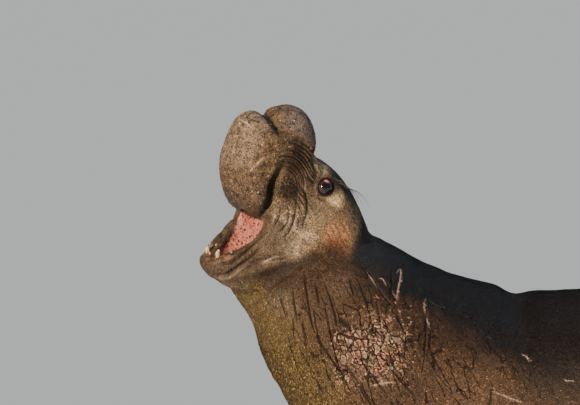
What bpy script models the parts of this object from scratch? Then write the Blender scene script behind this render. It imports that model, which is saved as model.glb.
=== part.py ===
"""Adult bull northern elephant seal, a still, life-size model.

The bull lies on its belly with the chest reared up, the head thrown back, turned and rolled a little to its
left, and the mouth wide open under the inflated nose.

Row frame: metres, +Z up, the floor at z = 0, the head end towards -X, the animal's left side towards -Y,
and the origin under the middle of the model's box. The forms are first laid out about the point of the
floor under the chest, and the whole model is moved to its origin at the end.
"""
import math
import random

import bmesh
import bpy
import numpy as np
from mathutils import Matrix, Vector

# Driving sizes. The head is modelled in its own frame: forward along the upper jaw, left, and up.
HEAD_PIVOT = Vector((0.136, 0.0, 0.911))   # middle of the jaw joint
HEAD_PITCH = math.radians(35)              # upper jaw above level
HEAD_TURN = math.radians(28)               # towards the animal's left
HEAD_ROLL = math.radians(7)                # its left side down
JAW_DROP = math.radians(48.5)              # lower jaw below the upper jaw's line
EYE_RADIUS = 0.030
EYE_PLACE = (0.157, 0.109, 0.064)          # left eye: forward, left, up
EAR_PLACE = (0.022, 0.176, -0.030)
CANINE_SPREAD = 0.040                      # from the middle of the jaw
FINGER_SWINGS = (-24, -13, -2, 9, 20)      # degrees across the fore flipper
FINGER_LENGTHS = (0.430, 0.425, 0.400, 0.360, 0.310)
TOE_SWINGS = (-27, -13, 0, 13, 27)         # degrees across the hind flipper
TOE_LENGTHS = (0.500, 0.435, 0.390, 0.435, 0.530)
VOXEL = 0.008                              # grain of the fused skin before it is thinned
HEAD_REACH = 0.43                          # the fine part of the skin lies this near the middle of the head
HEAD_TRIANGLES = 3700
TRUNK_TRIANGLES = 2000
LIMB_TRIANGLES = 2000
GAP = 0.0003                               # between nodes that touch

# Top line, bottom line and half width of the trunk, from inside the head back to the hips.
TRUNK = [
    # top x, top z, bottom x, bottom z, half width
    (0.145, 0.980, -0.105, 0.790, 0.150),
    (0.188, 0.930, -0.192, 0.742, 0.200),
    (0.240, 0.878, -0.164, 0.684, 0.240),
    (0.330, 0.838, -0.118, 0.610, 0.280),
    (0.425, 0.793, -0.080, 0.490, 0.330),
    (0.530, 0.754, 0.000, 0.350, 0.380),
    (0.630, 0.728, 0.088, 0.190, 0.425),
    (0.715, 0.710, 0.235, 0.045, 0.460),
    (0.830, 0.710, 0.480, -0.030, 0.490),
    (1.020, 0.722, 0.890, -0.040, 0.505),
    (1.333, 0.722, 1.302, -0.040, 0.500),
    (1.705, 0.675, 1.705, -0.036, 0.455),
    (2.077, 0.585, 2.077, -0.028, 0.385),
    (2.449, 0.470, 2.449, -0.020, 0.300),
    (2.759, 0.362, 2.759, -0.012, 0.225),
    (3.000, 0.276, 3.000, -0.006, 0.165),
    (3.160, 0.215, 3.160, 0.010, 0.125),
]

# Head: forward, top, bottom and half width.
CRANIUM = [
    (-0.190, -0.026, -0.200, 0.165),
    (-0.110, 0.030, -0.205, 0.182),
    (-0.030, 0.072, -0.190, 0.178),
    (0.050, 0.108, -0.150, 0.162),
    (0.120, 0.129, -0.110, 0.145),
    (0.185, 0.132, -0.095, 0.134),
    (0.240, 0.134, -0.090, 0.126),
    (0.290, 0.126, -0.088, 0.120),
    (0.330, 0.100, -0.080, 0.108),
    (0.360, 0.060, -0.060, 0.085),
]
# Lower jaw, in the dropped jaw's own frame: forward, top, bottom and half width.
JAW = [
    (0.060, 0.080, -0.140, 0.150),
    (0.130, 0.105, -0.155, 0.158),
    (0.210, 0.105, -0.152, 0.152),
    (0.285, 0.090, -0.142, 0.138),
    (0.342, 0.070, -0.120, 0.121),
    (0.388, 0.050, -0.090, 0.101),
    (0.418, 0.034, -0.058, 0.075),
]
# The inflated nose bends over the upper jaw between an outer and an inner line.
NOSE = [
    # outer forward, outer up, inner forward, inner up, half width
    (0.130, 0.106, 0.090, -0.060, 0.126),
    (0.188, 0.120, 0.120, -0.055, 0.114),
    (0.226, 0.150, 0.150, -0.050, 0.106),
    (0.262, 0.200, 0.170, -0.045, 0.103),
    (0.308, 0.232, 0.190, -0.040, 0.104),
    (0.352, 0.228, 0.205, -0.035, 0.104),
    (0.382, 0.190, 0.215, -0.030, 0.102),
    (0.396, 0.144, 0.222, -0.028, 0.102),
    (0.434, 0.146, 0.230, -0.030, 0.107),
    (0.462, 0.110, 0.235, -0.034, 0.113),
    (0.464, 0.050, 0.240, -0.042, 0.119),
    (0.446, -0.008, 0.242, -0.054, 0.123),
    (0.422, -0.060, 0.242, -0.070, 0.121),
    (0.384, -0.108, 0.238, -0.090, 0.113),
    (0.336, -0.142, 0.230, -0.110, 0.100),
    (0.288, -0.152, 0.225, -0.124, 0.078),
]
# The upper jaw's flesh that carries the nose: forward, top, bottom and half width.
MUZZLE = [
    (0.160, 0.085, -0.050, 0.120),
    (0.215, 0.130, -0.066, 0.124),
    (0.270, 0.175, -0.068, 0.124),
    (0.330, 0.180, -0.060, 0.130),
    (0.380, 0.145, -0.050, 0.124),
]
# The hollow of the mouth: throat and palate in the head's frame, and the floor in the jaw's.
THROAT = [
    (0.060, -0.070, -0.130, 0.045),
    (0.120, -0.066, -0.180, 0.064),
    (0.180, -0.060, -0.225, 0.076),
    (0.235, -0.060, -0.260, 0.080),
]
PALATE = [
    (0.100, -0.052, -0.150, 0.060),
    (0.170, -0.046, -0.150, 0.072),
    (0.240, -0.052, -0.150, 0.070),
    (0.285, -0.066, -0.150, 0.050),
]
JAW_FLOOR = [
    (0.150, 0.120, 0.000, 0.066),
    (0.220, 0.120, -0.014, 0.078),
    (0.290, 0.110, -0.020, 0.076),
    (0.340, 0.090, -0.012, 0.060),
    (0.366, 0.080, 0.002, 0.038),
]
TONGUE = [
    (0.120, 0.026, -0.030, 0.044),
    (0.180, 0.024, -0.034, 0.054),
    (0.240, 0.014, -0.034, 0.056),
    (0.290, 0.004, -0.030, 0.046),
    (0.318, -0.004, -0.026, 0.030),
]

# Outlines of the cutters that part the skin, as forward and up in the head's frame.
GAPE = [(0.246, -0.150), (0.254, -0.120), (0.276, -0.098), (0.306, -0.086), (0.420, -0.074),
        (0.500, -0.340), (0.345, -0.352), (0.322, -0.330), (0.294, -0.298), (0.270, -0.258),
        (0.254, -0.218), (0.246, -0.182)]
NOSE_PART = [(0.180, 0.240), (0.272, 0.000), (0.262, -0.100), (0.262, -0.176), (0.600, -0.176), (0.600, 0.320),
             (0.180, 0.320)]
JAW_PART = [(0.250, -0.112), (0.060, -0.150), (0.205, -0.440), (0.600, -0.440), (0.600, -0.112)]
# Cutters across the trunk, each a line from the back to the belly as x, z.
NECK_LINE = ((0.272, 0.960), (-0.215, 0.640))
CHEST_LINE = ((0.580, 0.830), (-0.120, 0.300))
TORSO_LINE = ((0.905, 0.900), (0.630, -0.100))
HIND_LINE = ((1.890, 0.900), (1.890, -0.100))
RUMP_LINE = ((3.215, 0.900), (3.215, -0.100))


def smooth_rows(rows, steps):
    """Rows of numbers joined by a smooth curve, with this many steps between neighbours."""
    rows = np.array(rows, float)
    padded = np.vstack([2 * rows[0] - rows[1], rows, 2 * rows[-1] - rows[-2]])
    out = []
    for i in range(1, len(padded) - 2):
        a, b, c, d = padded[i - 1:i + 3]
        for t in np.arange(steps) / steps:
            out.append(0.5 * (2 * b + (c - a) * t + (2 * a - 5 * b + 4 * c - d) * t**2
                              + (3 * b - a - 3 * c + d) * t**3))
    out.append(rows[-1])
    return np.array(out)


def mesh_object(name, points, faces):
    """A closed mesh in the scene, made from points and faces and turned to face outwards."""
    mesh = bpy.data.meshes.new(name)
    mesh.from_pydata([tuple(p) for p in points], [], faces)
    bm = bmesh.new()
    bm.from_mesh(mesh)
    bmesh.ops.recalc_face_normals(bm, faces=bm.faces)
    bm.to_mesh(mesh)
    bm.free()
    obj = bpy.data.objects.new(name, mesh)
    bpy.context.scene.collection.objects.link(obj)
    return obj


def loft(name, rings, sides=32, fullness=2.0):
    """A closed form through rings of (middle, half depth vector, half width vector), with rounded ends.

    fullness above 2 squares the section off a little.
    """
    rings = rounded_end(rings[0], rings[1][0])[::-1] + list(rings) + rounded_end(rings[-1], rings[-2][0])
    points, faces = [], []
    for middle, depth, width in rings:
        for k in range(sides):
            turn = 2 * math.pi * k / sides
            c, s = math.cos(turn), math.sin(turn)
            across = math.copysign(abs(c) ** (2 / fullness), c)
            along = math.copysign(abs(s) ** (2 / fullness), s)
            points.append(Vector(middle) + Vector(width) * across + Vector(depth) * along)
    for r in range(len(rings) - 1):
        for k in range(sides):
            n = (k + 1) % sides
            faces.append((r * sides + k, r * sides + n, (r + 1) * sides + n, (r + 1) * sides + k))
    faces.append(tuple(range(sides))[::-1])
    faces.append(tuple(range((len(rings) - 1) * sides, len(rings) * sides)))
    return mesh_object(name, points, faces)


def rounded_end(ring, inner_middle, steps=4):
    """Shrinking rings that close a loft as a dome, away from its inner neighbour."""
    middle, depth, width = (Vector(v) for v in ring)
    away = (middle - Vector(inner_middle)).normalized()
    reach = min(depth.length, width.length) * 0.75
    out = []
    for k in range(1, steps + 1):
        turn = 0.5 * math.pi * k / (steps + 0.35)
        out.append((middle + away * reach * math.sin(turn), depth * math.cos(turn), width * math.cos(turn)))
    return out


def limb(name, rows, across, sides=14):
    """A flattened form along rows of point, half thickness and half breadth.

    across is the breadth's direction, made square to the path at each ring.
    """
    path = smooth_rows([(*point, depth, half) for point, depth, half in rows], 4)
    rings = []
    for n, (x, y, z, depth, half) in enumerate(path):
        ahead = Vector(path[min(n + 1, len(path) - 1)][:3] - path[max(n - 1, 0)][:3]).normalized()
        breadth = (across - ahead * across.dot(ahead)).normalized()
        rings.append((Vector((x, y, z)), ahead.cross(breadth) * depth, breadth * half))
    return loft(name, rings, sides)


def ball(name, middle, radii, axes, detail=3):
    """An ellipsoid with its three radii along three axes."""
    bm = bmesh.new()
    bmesh.ops.create_icosphere(bm, subdivisions=detail, radius=1)
    frame = Matrix([axes[i] * radii[i] for i in range(3)]).transposed()
    points = [frame @ vert.co + middle for vert in bm.verts]
    faces = [tuple(vert.index for vert in face.verts) for face in bm.faces]
    bm.free()
    return mesh_object(name, points, faces)


def ring_form(name, middle, axes, radii, tube, turns=28, sides=8):
    """A ring in the plane of the first two axes, with two radii and a round section."""
    points, faces = [], []
    for i in range(turns):
        turn = 2 * math.pi * i / turns
        out = (axes[0] * math.cos(turn) + axes[1] * math.sin(turn)).normalized()
        rim = middle + axes[0] * radii[0] * math.cos(turn) + axes[1] * radii[1] * math.sin(turn)
        for k in range(sides):
            roll = 2 * math.pi * k / sides
            points.append(rim + out * tube * math.cos(roll) + axes[2] * tube * math.sin(roll))
    for i in range(turns):
        n = (i + 1) % turns
        for k in range(sides):
            m = (k + 1) % sides
            faces.append((i * sides + k, i * sides + m, n * sides + m, n * sides + k))
    return mesh_object(name, points, faces)


def spike(name, path, radius, sides=3):
    """A tapered spine along a few points, from its root to a fine tip."""
    points, faces = [], []
    for n, point in enumerate(path[:-1]):
        ahead = (path[n + 1] - path[max(n - 1, 0)]).normalized()
        side = ahead.orthogonal().normalized()
        other = ahead.cross(side)
        thick = radius * (1 - 0.75 * n / (len(path) - 1))
        for k in range(sides):
            turn = 2 * math.pi * k / sides
            points.append(point + (side * math.cos(turn) + other * math.sin(turn)) * thick)
    points.append(path[-1])
    rings = len(path) - 1
    for r in range(rings - 1):
        for k in range(sides):
            n = (k + 1) % sides
            faces.append((r * sides + k, r * sides + n, (r + 1) * sides + n, (r + 1) * sides + k))
    for k in range(sides):
        faces.append(((rings - 1) * sides + k, (rings - 1) * sides + (k + 1) % sides, rings * sides))
    faces.append(tuple(range(sides)))
    return mesh_object(name, points, faces)


def prism(name, outline, place, half):
    """An outline in a side view, given as pairs, made into a solid that reaches half to each side."""
    points = [place(a, side * half, b) for side in (-1, 1) for a, b in outline]
    count = len(outline)
    faces = [(k, (k + 1) % count, count + (k + 1) % count, count + k) for k in range(count)]
    faces += [tuple(range(count))[::-1], tuple(range(count, 2 * count))]
    return mesh_object(name, points, faces)


def applied(obj):
    """The object with its modifiers worked into its mesh."""
    graph = bpy.context.evaluated_depsgraph_get()
    obj.data = bpy.data.meshes.new_from_object(obj.evaluated_get(graph))
    obj.modifiers.clear()
    return obj


def joined(name, objects):
    """Several objects' meshes in one object, which a remesh then fuses."""
    bm = bmesh.new()
    for obj in objects:
        bm.from_mesh(obj.data)
        bpy.data.objects.remove(obj)
    mesh = bpy.data.meshes.new(name)
    bm.to_mesh(mesh)
    bm.free()
    obj = bpy.data.objects.new(name, mesh)
    bpy.context.scene.collection.objects.link(obj)
    return obj


def copied(obj, name):
    """A second object with its own copy of the mesh."""
    twin = bpy.data.objects.new(name, obj.data.copy())
    bpy.context.scene.collection.objects.link(twin)
    return twin


def remeshed(obj, voxel):
    """One closed skin over all the forms in the object."""
    grain = obj.modifiers.new("grain", "REMESH")
    grain.mode = "VOXEL"
    grain.voxel_size = voxel
    return applied(obj)


def relaxed(obj, rounds, factor=0.5):
    """Joins and edges smoothed by moving each point towards its neighbours."""
    smooth = obj.modifiers.new("relax", "SMOOTH")
    smooth.factor = factor
    smooth.iterations = rounds
    return applied(obj)


def thinned(obj, chosen, keep):
    """Brings the chosen part of a mesh to about this many triangles and leaves the rest."""
    group = obj.vertex_groups.new(name="thin")
    inside = {vert.index for vert in obj.data.vertices if chosen(vert.co)}
    group.add(list(inside), 1.0, "REPLACE")
    total = len(obj.data.polygons)
    count = sum(any(v in inside for v in face.vertices) for face in obj.data.polygons)
    thin = obj.modifiers.new("thin", "DECIMATE")
    thin.ratio = (total - count + keep) / total
    thin.vertex_group = group.name
    applied(obj)
    obj.vertex_groups.clear()
    return obj


def boolean(obj, others, operation, solver="MANIFOLD"):
    """Applies one Boolean with an object, or with a list of them, and removes them."""
    tools = others if isinstance(others, list) else [others]
    cut = obj.modifiers.new("cut", "BOOLEAN")
    cut.operation = operation
    cut.solver = solver
    if len(tools) > 1:
        group = bpy.data.collections.new("tools")
        bpy.context.scene.collection.children.link(group)
        for tool in tools:
            group.objects.link(tool)
        cut.operand_type = "COLLECTION"
        cut.collection = group
    else:
        cut.object = tools[0]
    applied(obj)
    for tool in tools:
        bpy.data.objects.remove(tool)
    if len(tools) > 1:
        bpy.data.collections.remove(group)
    return largest_piece(obj)


def largest_piece(obj):
    """Keeps only the largest closed surface of a mesh, in triangles."""
    bm = bmesh.new()
    bm.from_mesh(obj.data)
    bmesh.ops.triangulate(bm, faces=bm.faces)
    islands, seen = [], set()
    for start in bm.verts:
        if start in seen:
            continue
        island, front = [], [start]
        seen.add(start)
        while front:
            vert = front.pop()
            island.append(vert)
            for edge in vert.link_edges:
                near = edge.other_vert(vert)
                if near not in seen:
                    seen.add(near)
                    front.append(near)
        islands.append(island)
    islands.sort(key=len)
    loose = [vert for island in islands[:-1] for vert in island]
    bmesh.ops.delete(bm, geom=loose, context="VERTS")
    bm.to_mesh(obj.data)
    bm.free()
    return obj


def creased(obj, lines):
    """Presses grooves into a skin, or raises ridges.

    Each line is (points, depth, half width). It is laid onto the skin, and its depth fades at both ends.
    """
    mesh = obj.data
    places = np.empty(len(mesh.vertices) * 3)
    mesh.vertices.foreach_get("co", places)
    places = places.reshape(-1, 3)
    normals = np.empty(len(mesh.vertices) * 3)
    mesh.vertex_normals.foreach_get("vector", normals)
    normals = normals.reshape(-1, 3)
    for points, depth, width in lines:
        line = smooth_rows([tuple(p) for p in points], 6)
        line = np.array([places[((places - p) ** 2).sum(1).argmin()] for p in line])
        for _ in range(4):
            line[1:-1] = (line[:-2] + 2 * line[1:-1] + line[2:]) / 4
        near = np.where((places > line.min(0) - 3 * width).all(1) & (places < line.max(0) + 3 * width).all(1))[0]
        best = np.full(len(near), np.inf)
        share = np.zeros(len(near))
        for n in range(len(line) - 1):
            step = line[n + 1] - line[n]
            t = np.clip(((places[near] - line[n]) @ step) / max(step @ step, 1e-12), 0, 1)
            gap = np.linalg.norm(places[near] - line[n] - t[:, None] * step, axis=1)
            closer = gap < best
            best[closer] = gap[closer]
            share[closer] = ((n + t) / (len(line) - 1))[closer]
        fade = np.sqrt(np.clip(np.sin(math.pi * np.clip(share, 0.02, 0.98)), 0, 1))
        move = depth * fade * np.exp(-(best / width) ** 2)
        places[near] -= normals[near] * move[:, None]
    mesh.vertices.foreach_set("co", places.ravel())
    mesh.update()
    return obj


# Frames of the head and the dropped jaw

FORWARD = Vector((-math.cos(HEAD_PITCH) * math.cos(HEAD_TURN),
                  -math.cos(HEAD_PITCH) * math.sin(HEAD_TURN), math.sin(HEAD_PITCH)))
LEFT = Matrix.Rotation(-HEAD_ROLL, 3, FORWARD) @ Vector((math.sin(HEAD_TURN), -math.cos(HEAD_TURN), 0))
UP = FORWARD.cross(LEFT)


def head_vector(forward, left, up):
    return FORWARD * forward + LEFT * left + UP * up


def head_point(forward, left, up):
    return HEAD_PIVOT + head_vector(forward, left, up)


def jaw_to_head(forward, up):
    """A place in the dropped jaw's frame, as the head's forward and up."""
    c, s = math.cos(JAW_DROP), math.sin(JAW_DROP)
    return forward * c + up * s, up * c - forward * s


def jaw_point(forward, left, up):
    f, u = jaw_to_head(forward, up)
    return head_point(f, left, u)


def side_view(x, y, z):
    return Vector((x, y, z))


# Forms

def trunk():
    rings = []
    for tx, tz, bx, bz, half in smooth_rows(TRUNK, 4):
        middle = Vector(((tx + bx) / 2, 0, (tz + bz) / 2))
        rings.append((middle, Vector((tx, 0, tz)) - middle, Vector((0, half, 0))))
    return loft("trunk", rings, sides=48, fullness=2.15)


def head_loft(name, rows, place, sides=32, fullness=2.2, steps=4):
    """A form across a head or jaw frame from rows of forward, top, bottom and half width."""
    rings = []
    for forward, top, bottom, half in smooth_rows(rows, steps):
        middle = place(forward, 0, (top + bottom) / 2)
        rings.append((middle, place(forward, 0, top) - middle, LEFT * half))
    return loft(name, rings, sides, fullness)


def nose():
    rings = []
    for of, ou, nf, nu, half in smooth_rows(NOSE, 4):
        middle = head_point((of + nf) / 2, 0, (ou + nu) / 2)
        rings.append((middle, head_point(of, 0, ou) - middle, LEFT * half))
    return loft("nose", rings, sides=40, fullness=2.45)


def whisker_pad(side):
    return ball("pad", head_point(0.236, side * 0.090, -0.030), (0.046, 0.042, 0.048), (FORWARD, LEFT, UP))


def cheek(side):
    return ball("cheek", head_point(0.190, side * 0.096, -0.118), (0.088, 0.050, 0.090), (FORWARD, LEFT, UP))


def web(name, root, rim, thickness):
    """A thin plate that fans out from its root to a rim of points."""
    normal = (rim[0] - root).cross(rim[-1] - root).normalized()
    outline = [root] + rim
    points = [p + normal * thickness * sign for sign in (-0.5, 0.5) for p in outline]
    count = len(outline)
    faces = [(k, (k + 1) % count, count + (k + 1) % count, count + k) for k in range(count)]
    faces += [tuple(range(count))[::-1], tuple(range(count, 2 * count))]
    return mesh_object(name, points, faces)


def webbed_fan(root, rays, across, toe, notch, thickness):
    """Toes spread from a root, with a scalloped web between them.

    rays are each toe's direction and length; toe is half thickness and breadth at its root and at its tip.
    """
    thick, broad, thin, narrow = toe
    forms, rim = [], []
    for k, (ahead, reach) in enumerate(rays):
        forms.append(limb("toe", [
            (root + ahead * 0.06 * reach, thick, broad),
            (root + ahead * 0.55 * reach, (thick + thin) / 2, broad),
            (root + ahead * reach, thin, narrow)], across))
        rim.append(root + ahead * reach)
        if k < len(rays) - 1:
            after, after_reach = rays[k + 1]
            for t in (0.25, 0.5, 0.75):
                way = ahead.lerp(after, t).normalized()
                rim.append(root + way * (reach + (after_reach - reach) * t - notch * math.sin(math.pi * t)))
    forms.append(web("web", root, rim, thickness))
    return forms


def beside(side, x, y, z):
    """A place given for the animal's right side, on the side asked for."""
    return Vector((x, -side * y, z))


def finger_rays(side):
    """The fingers of a fore flipper: where they start, and each one's direction and length."""
    along = beside(side, 0.62, 0.785, -0.075).normalized()
    across = beside(side, 0.785, -0.62, 0.0).normalized()
    rays = [(along * math.cos(math.radians(swing)) + across * math.sin(math.radians(swing)), reach)
            for swing, reach in zip(FINGER_SWINGS, FINGER_LENGTHS)]
    return beside(side, 0.635, 0.490, 0.040), rays, across


def fore_flipper(side):
    """A palm and five webbed fingers, laid out and back along the floor, the first finger the longest."""
    root, rays, across = finger_rays(side)
    palm_across = beside(side, 0.80, -0.60, 0.0)
    forms = [limb("palm", [
        (beside(side, 0.56, 0.300, 0.200), 0.115, 0.140), (beside(side, 0.61, 0.430, 0.120), 0.070, 0.124),
        (beside(side, 0.66, 0.520, 0.066), 0.048, 0.120), (beside(side, 0.72, 0.600, 0.036), 0.030, 0.120),
        (beside(side, 0.77, 0.670, 0.024), 0.018, 0.110)], palm_across, 20)]
    return forms + webbed_fan(root, rays, across, (0.026, 0.028, 0.012, 0.019), 0.016, 0.024)


def hind_flipper(side):
    """A heel and five toes in one upright fan, the outer two the longest, trailing behind the tail."""
    along = beside(side, 0.945, 0.26, 0.17).normalized()
    across = beside(side, 0.0, 0.45, 0.89)
    across = (across - along * across.dot(along)).normalized()
    forms = [limb("sole", [
        (beside(side, 3.060, 0.078, 0.118), 0.078, 0.096), (beside(side, 3.230, 0.114, 0.128), 0.048, 0.076),
        (beside(side, 3.360, 0.150, 0.142), 0.028, 0.094)], across, 20)]
    rays = [(along * math.cos(math.radians(swing)) + across * math.sin(math.radians(swing)), reach)
            for swing, reach in zip(TOE_SWINGS, TOE_LENGTHS)]
    return forms + webbed_fan(beside(side, 3.225, 0.112, 0.128), rays, across, (0.026, 0.026, 0.011, 0.021),
                              0.024, 0.018)


def tail_stub():
    rings = [(Vector((x, 0, z)), Vector((0, 0, depth)), Vector((0, half, 0)))
             for x, z, depth, half in ((3.12, 0.115, 0.070, 0.080), (3.24, 0.116, 0.030, 0.040),
                                       (3.33, 0.112, 0.018, 0.028))]
    return loft("tail", rings, sides=20)


def face_folds():
    """Grooves and ridges of the head, each as points, depth and half width."""
    lines = [
        # across the nose, between its two lobes
        ([head_point(0.400, lat, 0.150 - 1.9 * lat * lat) for lat in (-0.11, -0.06, 0, 0.06, 0.11)],
         0.020, 0.015),
        # across the root of the nose
        ([head_point(0.196, lat, 0.150 - 2.4 * lat * lat) for lat in (-0.12, -0.06, 0, 0.06, 0.12)],
         0.006, 0.016),
    ]
    for side in (1, -1):
        def spot(forward, left, up, side=side):
            return head_point(forward, side * left, up)
        lines += [
            # between the nose and the whisker pad
            ([spot(0.300, 0.118, 0.050), spot(0.292, 0.124, 0.005), spot(0.286, 0.122, -0.045),
              spot(0.280, 0.112, -0.095), spot(0.272, 0.100, -0.125)], 0.020, 0.012),
            # in front of the eye
            ([spot(0.176, 0.134, 0.100), spot(0.168, 0.144, 0.062), spot(0.160, 0.148, 0.020)],
             0.008, 0.010),
            # along the lower lip
            ([jaw_point(0.250, side * 0.160, 0.005), jaw_point(0.310, side * 0.140, -0.010),
              jaw_point(0.370, side * 0.120, -0.020), jaw_point(0.420, side * 0.075, -0.025)], 0.008, 0.010),
            # under the lip fold
            ([jaw_point(0.180, side * 0.168, -0.040), jaw_point(0.260, side * 0.160, -0.055),
              jaw_point(0.340, side * 0.130, -0.065)], 0.007, 0.012),
        ]
    return lines


def body_folds():
    """The skin folds of the nape, the shoulder and the flippers."""
    lines = [([Vector((0.705, 0.37, 0.40)), Vector((0.702, 0.24, 0.64)), Vector((0.700, 0, 0.72)),
               Vector((0.702, -0.24, 0.64)), Vector((0.705, -0.37, 0.40))], 0.013, 0.040),
             ([Vector((0.245, 0.22, 0.78)), Vector((0.262, 0.12, 0.88)), Vector((0.268, 0, 0.90)),
               Vector((0.262, -0.12, 0.88)), Vector((0.245, -0.22, 0.78))], 0.010, 0.020)]
    return lines


def fused_skin():
    """The whole body in one skin: jaws and trunk with the mouth cut out, then the nose over them."""
    skull = joined("skull", [trunk(), head_loft("cranium", CRANIUM, head_point),
                             head_loft("jaw", JAW, jaw_point)]
                   + [form(side) for form in (whisker_pad, cheek) for side in (-1, 1)])
    skull = remeshed(skull, VOXEL)
    boolean(skull, prism("gape", GAPE, head_point, 0.30), "DIFFERENCE")
    boolean(skull, head_loft("throat", THROAT, head_point), "DIFFERENCE")
    boolean(skull, head_loft("palate", PALATE, head_point), "DIFFERENCE")
    boolean(skull, head_loft("floor", JAW_FLOOR, jaw_point), "DIFFERENCE")
    limbs = [piece for side in (-1, 1) for piece in fore_flipper(side) + hind_flipper(side)]
    snout = [nose(), head_loft("muzzle", MUZZLE, head_point, fullness=2.8)]
    skin = remeshed(joined("skin", [skull, tail_stub()] + snout + limbs), VOXEL)
    rest_on_floor(skin)
    relaxed(skin, 8)
    creased(skin, face_folds() + body_folds())
    relaxed(skin, 1)
    rest_on_floor(skin)
    return largest_piece(skin)


def rest_on_floor(obj, snap=0.003):
    """What reaches below the floor, or all but touches it, lies flat on it."""
    for vert in obj.data.vertices:
        if vert.co.z < snap:
            vert.co.z = 0.0


def on_head(p):
    return (p - head_point(0.17, 0, -0.06)).length < HEAD_REACH


def on_limb(p):
    return (abs(p.y) > 0.43 and p.z < 0.17 and p.x < 1.2) or p.x > 3.18


def on_trunk(p):
    return not on_head(p) and not on_limb(p)


# Nodes

def across_line(line, shift=0.0):
    """The outline of everything ahead of a line across the trunk, pulled ahead by shift."""
    (ax, az), (bx, bz) = line
    length = math.hypot(ax - bx, az - bz)
    nx, nz = -(az - bz) / length, (ax - bx) / length
    a = (ax + nx * shift, az + nz * shift)
    b = (bx + nx * shift, bz + nz * shift)
    return [a, b, (b[0] + nx * 5, b[1] + nz * 5), (a[0] + nx * 5, a[1] + nz * 5)]


def grown(outline, amount):
    """An outline with every corner moved out by about this amount along its two edges' normals."""
    count = len(outline)
    area = sum(outline[k][0] * outline[(k + 1) % count][1] - outline[(k + 1) % count][0] * outline[k][1]
               for k in range(count))
    turn = 1 if area > 0 else -1
    out = []
    for k in range(count):
        before = Vector(outline[k]) - Vector(outline[k - 1])
        after = Vector(outline[(k + 1) % count]) - Vector(outline[k])
        n1 = Vector((before.y, -before.x)).normalized() * turn
        n2 = Vector((after.y, -after.x)).normalized() * turn
        corner = (n1 + n2) / (1 + n1.dot(n2))
        out.append((outline[k][0] + corner.x * amount, outline[k][1] + corner.y * amount))
    return out


def parted(skin, name, outline, place, half):
    """Cuts the part of the skin inside a side-view outline off as a node of its own, a thin gap away."""
    piece = copied(skin, name)
    boolean(piece, prism("cutter", outline, place, half), "INTERSECT")
    boolean(skin, prism("cutter", grown(outline, GAP), place, half + GAP), "DIFFERENCE")
    return piece


def plan_view(x, half, y):
    """Lays an outline drawn in plan flat, so that the prism reaches half above and below the floor."""
    return Vector((x, y, half))


def swollen(obj, amount):
    """A copy of a node with its surface moved out, for cutting clearance into a neighbour."""
    twin = copied(obj, "swollen")
    swell = twin.modifiers.new("swell", "DISPLACE")
    swell.strength = amount
    swell.mid_level = 0
    return applied(twin)


def tooth(place, base, height, radius, lean, flare=0.0):
    """A curved peg from its base in the gum."""
    path = [place(base[0] - lean * 0.2, base[1], base[2] - height * 0.55), place(*base),
            place(base[0] + lean * 0.35, base[1] * (1 + flare * 0.4), base[2] + height * 0.55),
            place(base[0] + lean, base[1] * (1 + flare), base[2] + height)]
    return spike("tooth", path, radius, sides=7)


def lower_teeth():
    """Two canines, two small incisors between them and a row of small pegs down each side."""
    teeth = [tooth(jaw_point, (0.410, s * CANINE_SPREAD, 0.032), 0.026, 0.0110, -0.006, 0.12) for s in (-1, 1)]
    teeth += [tooth(jaw_point, (0.424, s * 0.011, 0.032), 0.010, 0.0045, 0.002) for s in (-1, 1)]
    for k in range(4):
        for s in (-1, 1):
            base = (0.372 - 0.036 * k, s * (0.056 + 0.008 * k), 0.030 - 0.004 * k)
            teeth.append(tooth(jaw_point, base, 0.011, 0.0055, -0.002))
    return teeth


def upper_teeth():
    """The upper canines and four pegs a side, hanging from the palate's edge behind the nose."""
    def place(forward, left, up):
        return head_point(forward, left, -up)

    teeth = [tooth(place, (0.306, s * 0.050, 0.078), 0.032, 0.0095, -0.004, 0.10) for s in (-1, 1)]
    for k in range(4):
        for s in (-1, 1):
            teeth.append(tooth(place, (0.272 - 0.028 * k, s * (0.062 + 0.004 * k), 0.080 + 0.006 * k),
                               0.012, 0.0055, 0.0))
    return teeth


def whiskers():
    """Stiff bristles of both whisker pads and of the brows, bent back along the cheek."""
    draw = random.Random(7)
    out = []
    for side in (1, -1):
        for row in range(3):
            for k in range(4):
                forward = 0.266 - 0.022 * k - 0.004 * row
                up = 0.000 - 0.028 * row + 0.006 * k
                length = 0.060 + 0.022 * k + draw.uniform(-0.006, 0.006)
                heading = head_vector(-0.62 + 0.08 * row, side * 0.62, -0.35 - 0.18 * row).normalized()
                sag = head_vector(-0.55, -side * 0.10, -0.45)
                start = head_point(forward, side * 0.108, up)
                path = [start + heading * length * t + sag * length * 0.35 * t * t for t in (0, 0.45, 0.75, 1)]
                out.append(spike("whisker", path, 0.0015))
        for k in range(5):
            forward, up = 0.150 - 0.011 * k, 0.112 - 0.003 * k
            length = 0.082 + 0.007 * k
            heading = head_vector(-0.36, side * 0.55, 0.40).normalized()
            sag = head_vector(-0.75, -side * 0.12, -0.85)
            start = head_point(forward, side * (0.088 + 0.006 * k), up - 0.012)
            path = [start + heading * length * t + sag * length * 0.55 * t * t for t in (0, 0.45, 0.75, 1)]
            out.append(spike("brow_whisker", path, 0.0014))
    return out


def claws(side):
    """The nail at the end of each finger of a fore flipper."""
    root, rays, _ = finger_rays(side)
    rise = Vector((0, 0, 1))
    out = []
    for ahead, reach in rays:
        tip = root + ahead * reach
        path = [tip - ahead * 0.024 + rise * 0.004, tip + rise * 0.007, tip + ahead * 0.024 + rise * 0.004,
                tip + ahead * 0.042 - rise * 0.005]
        out.append(spike("claw", path, 0.009, sides=6))
    return out


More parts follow.
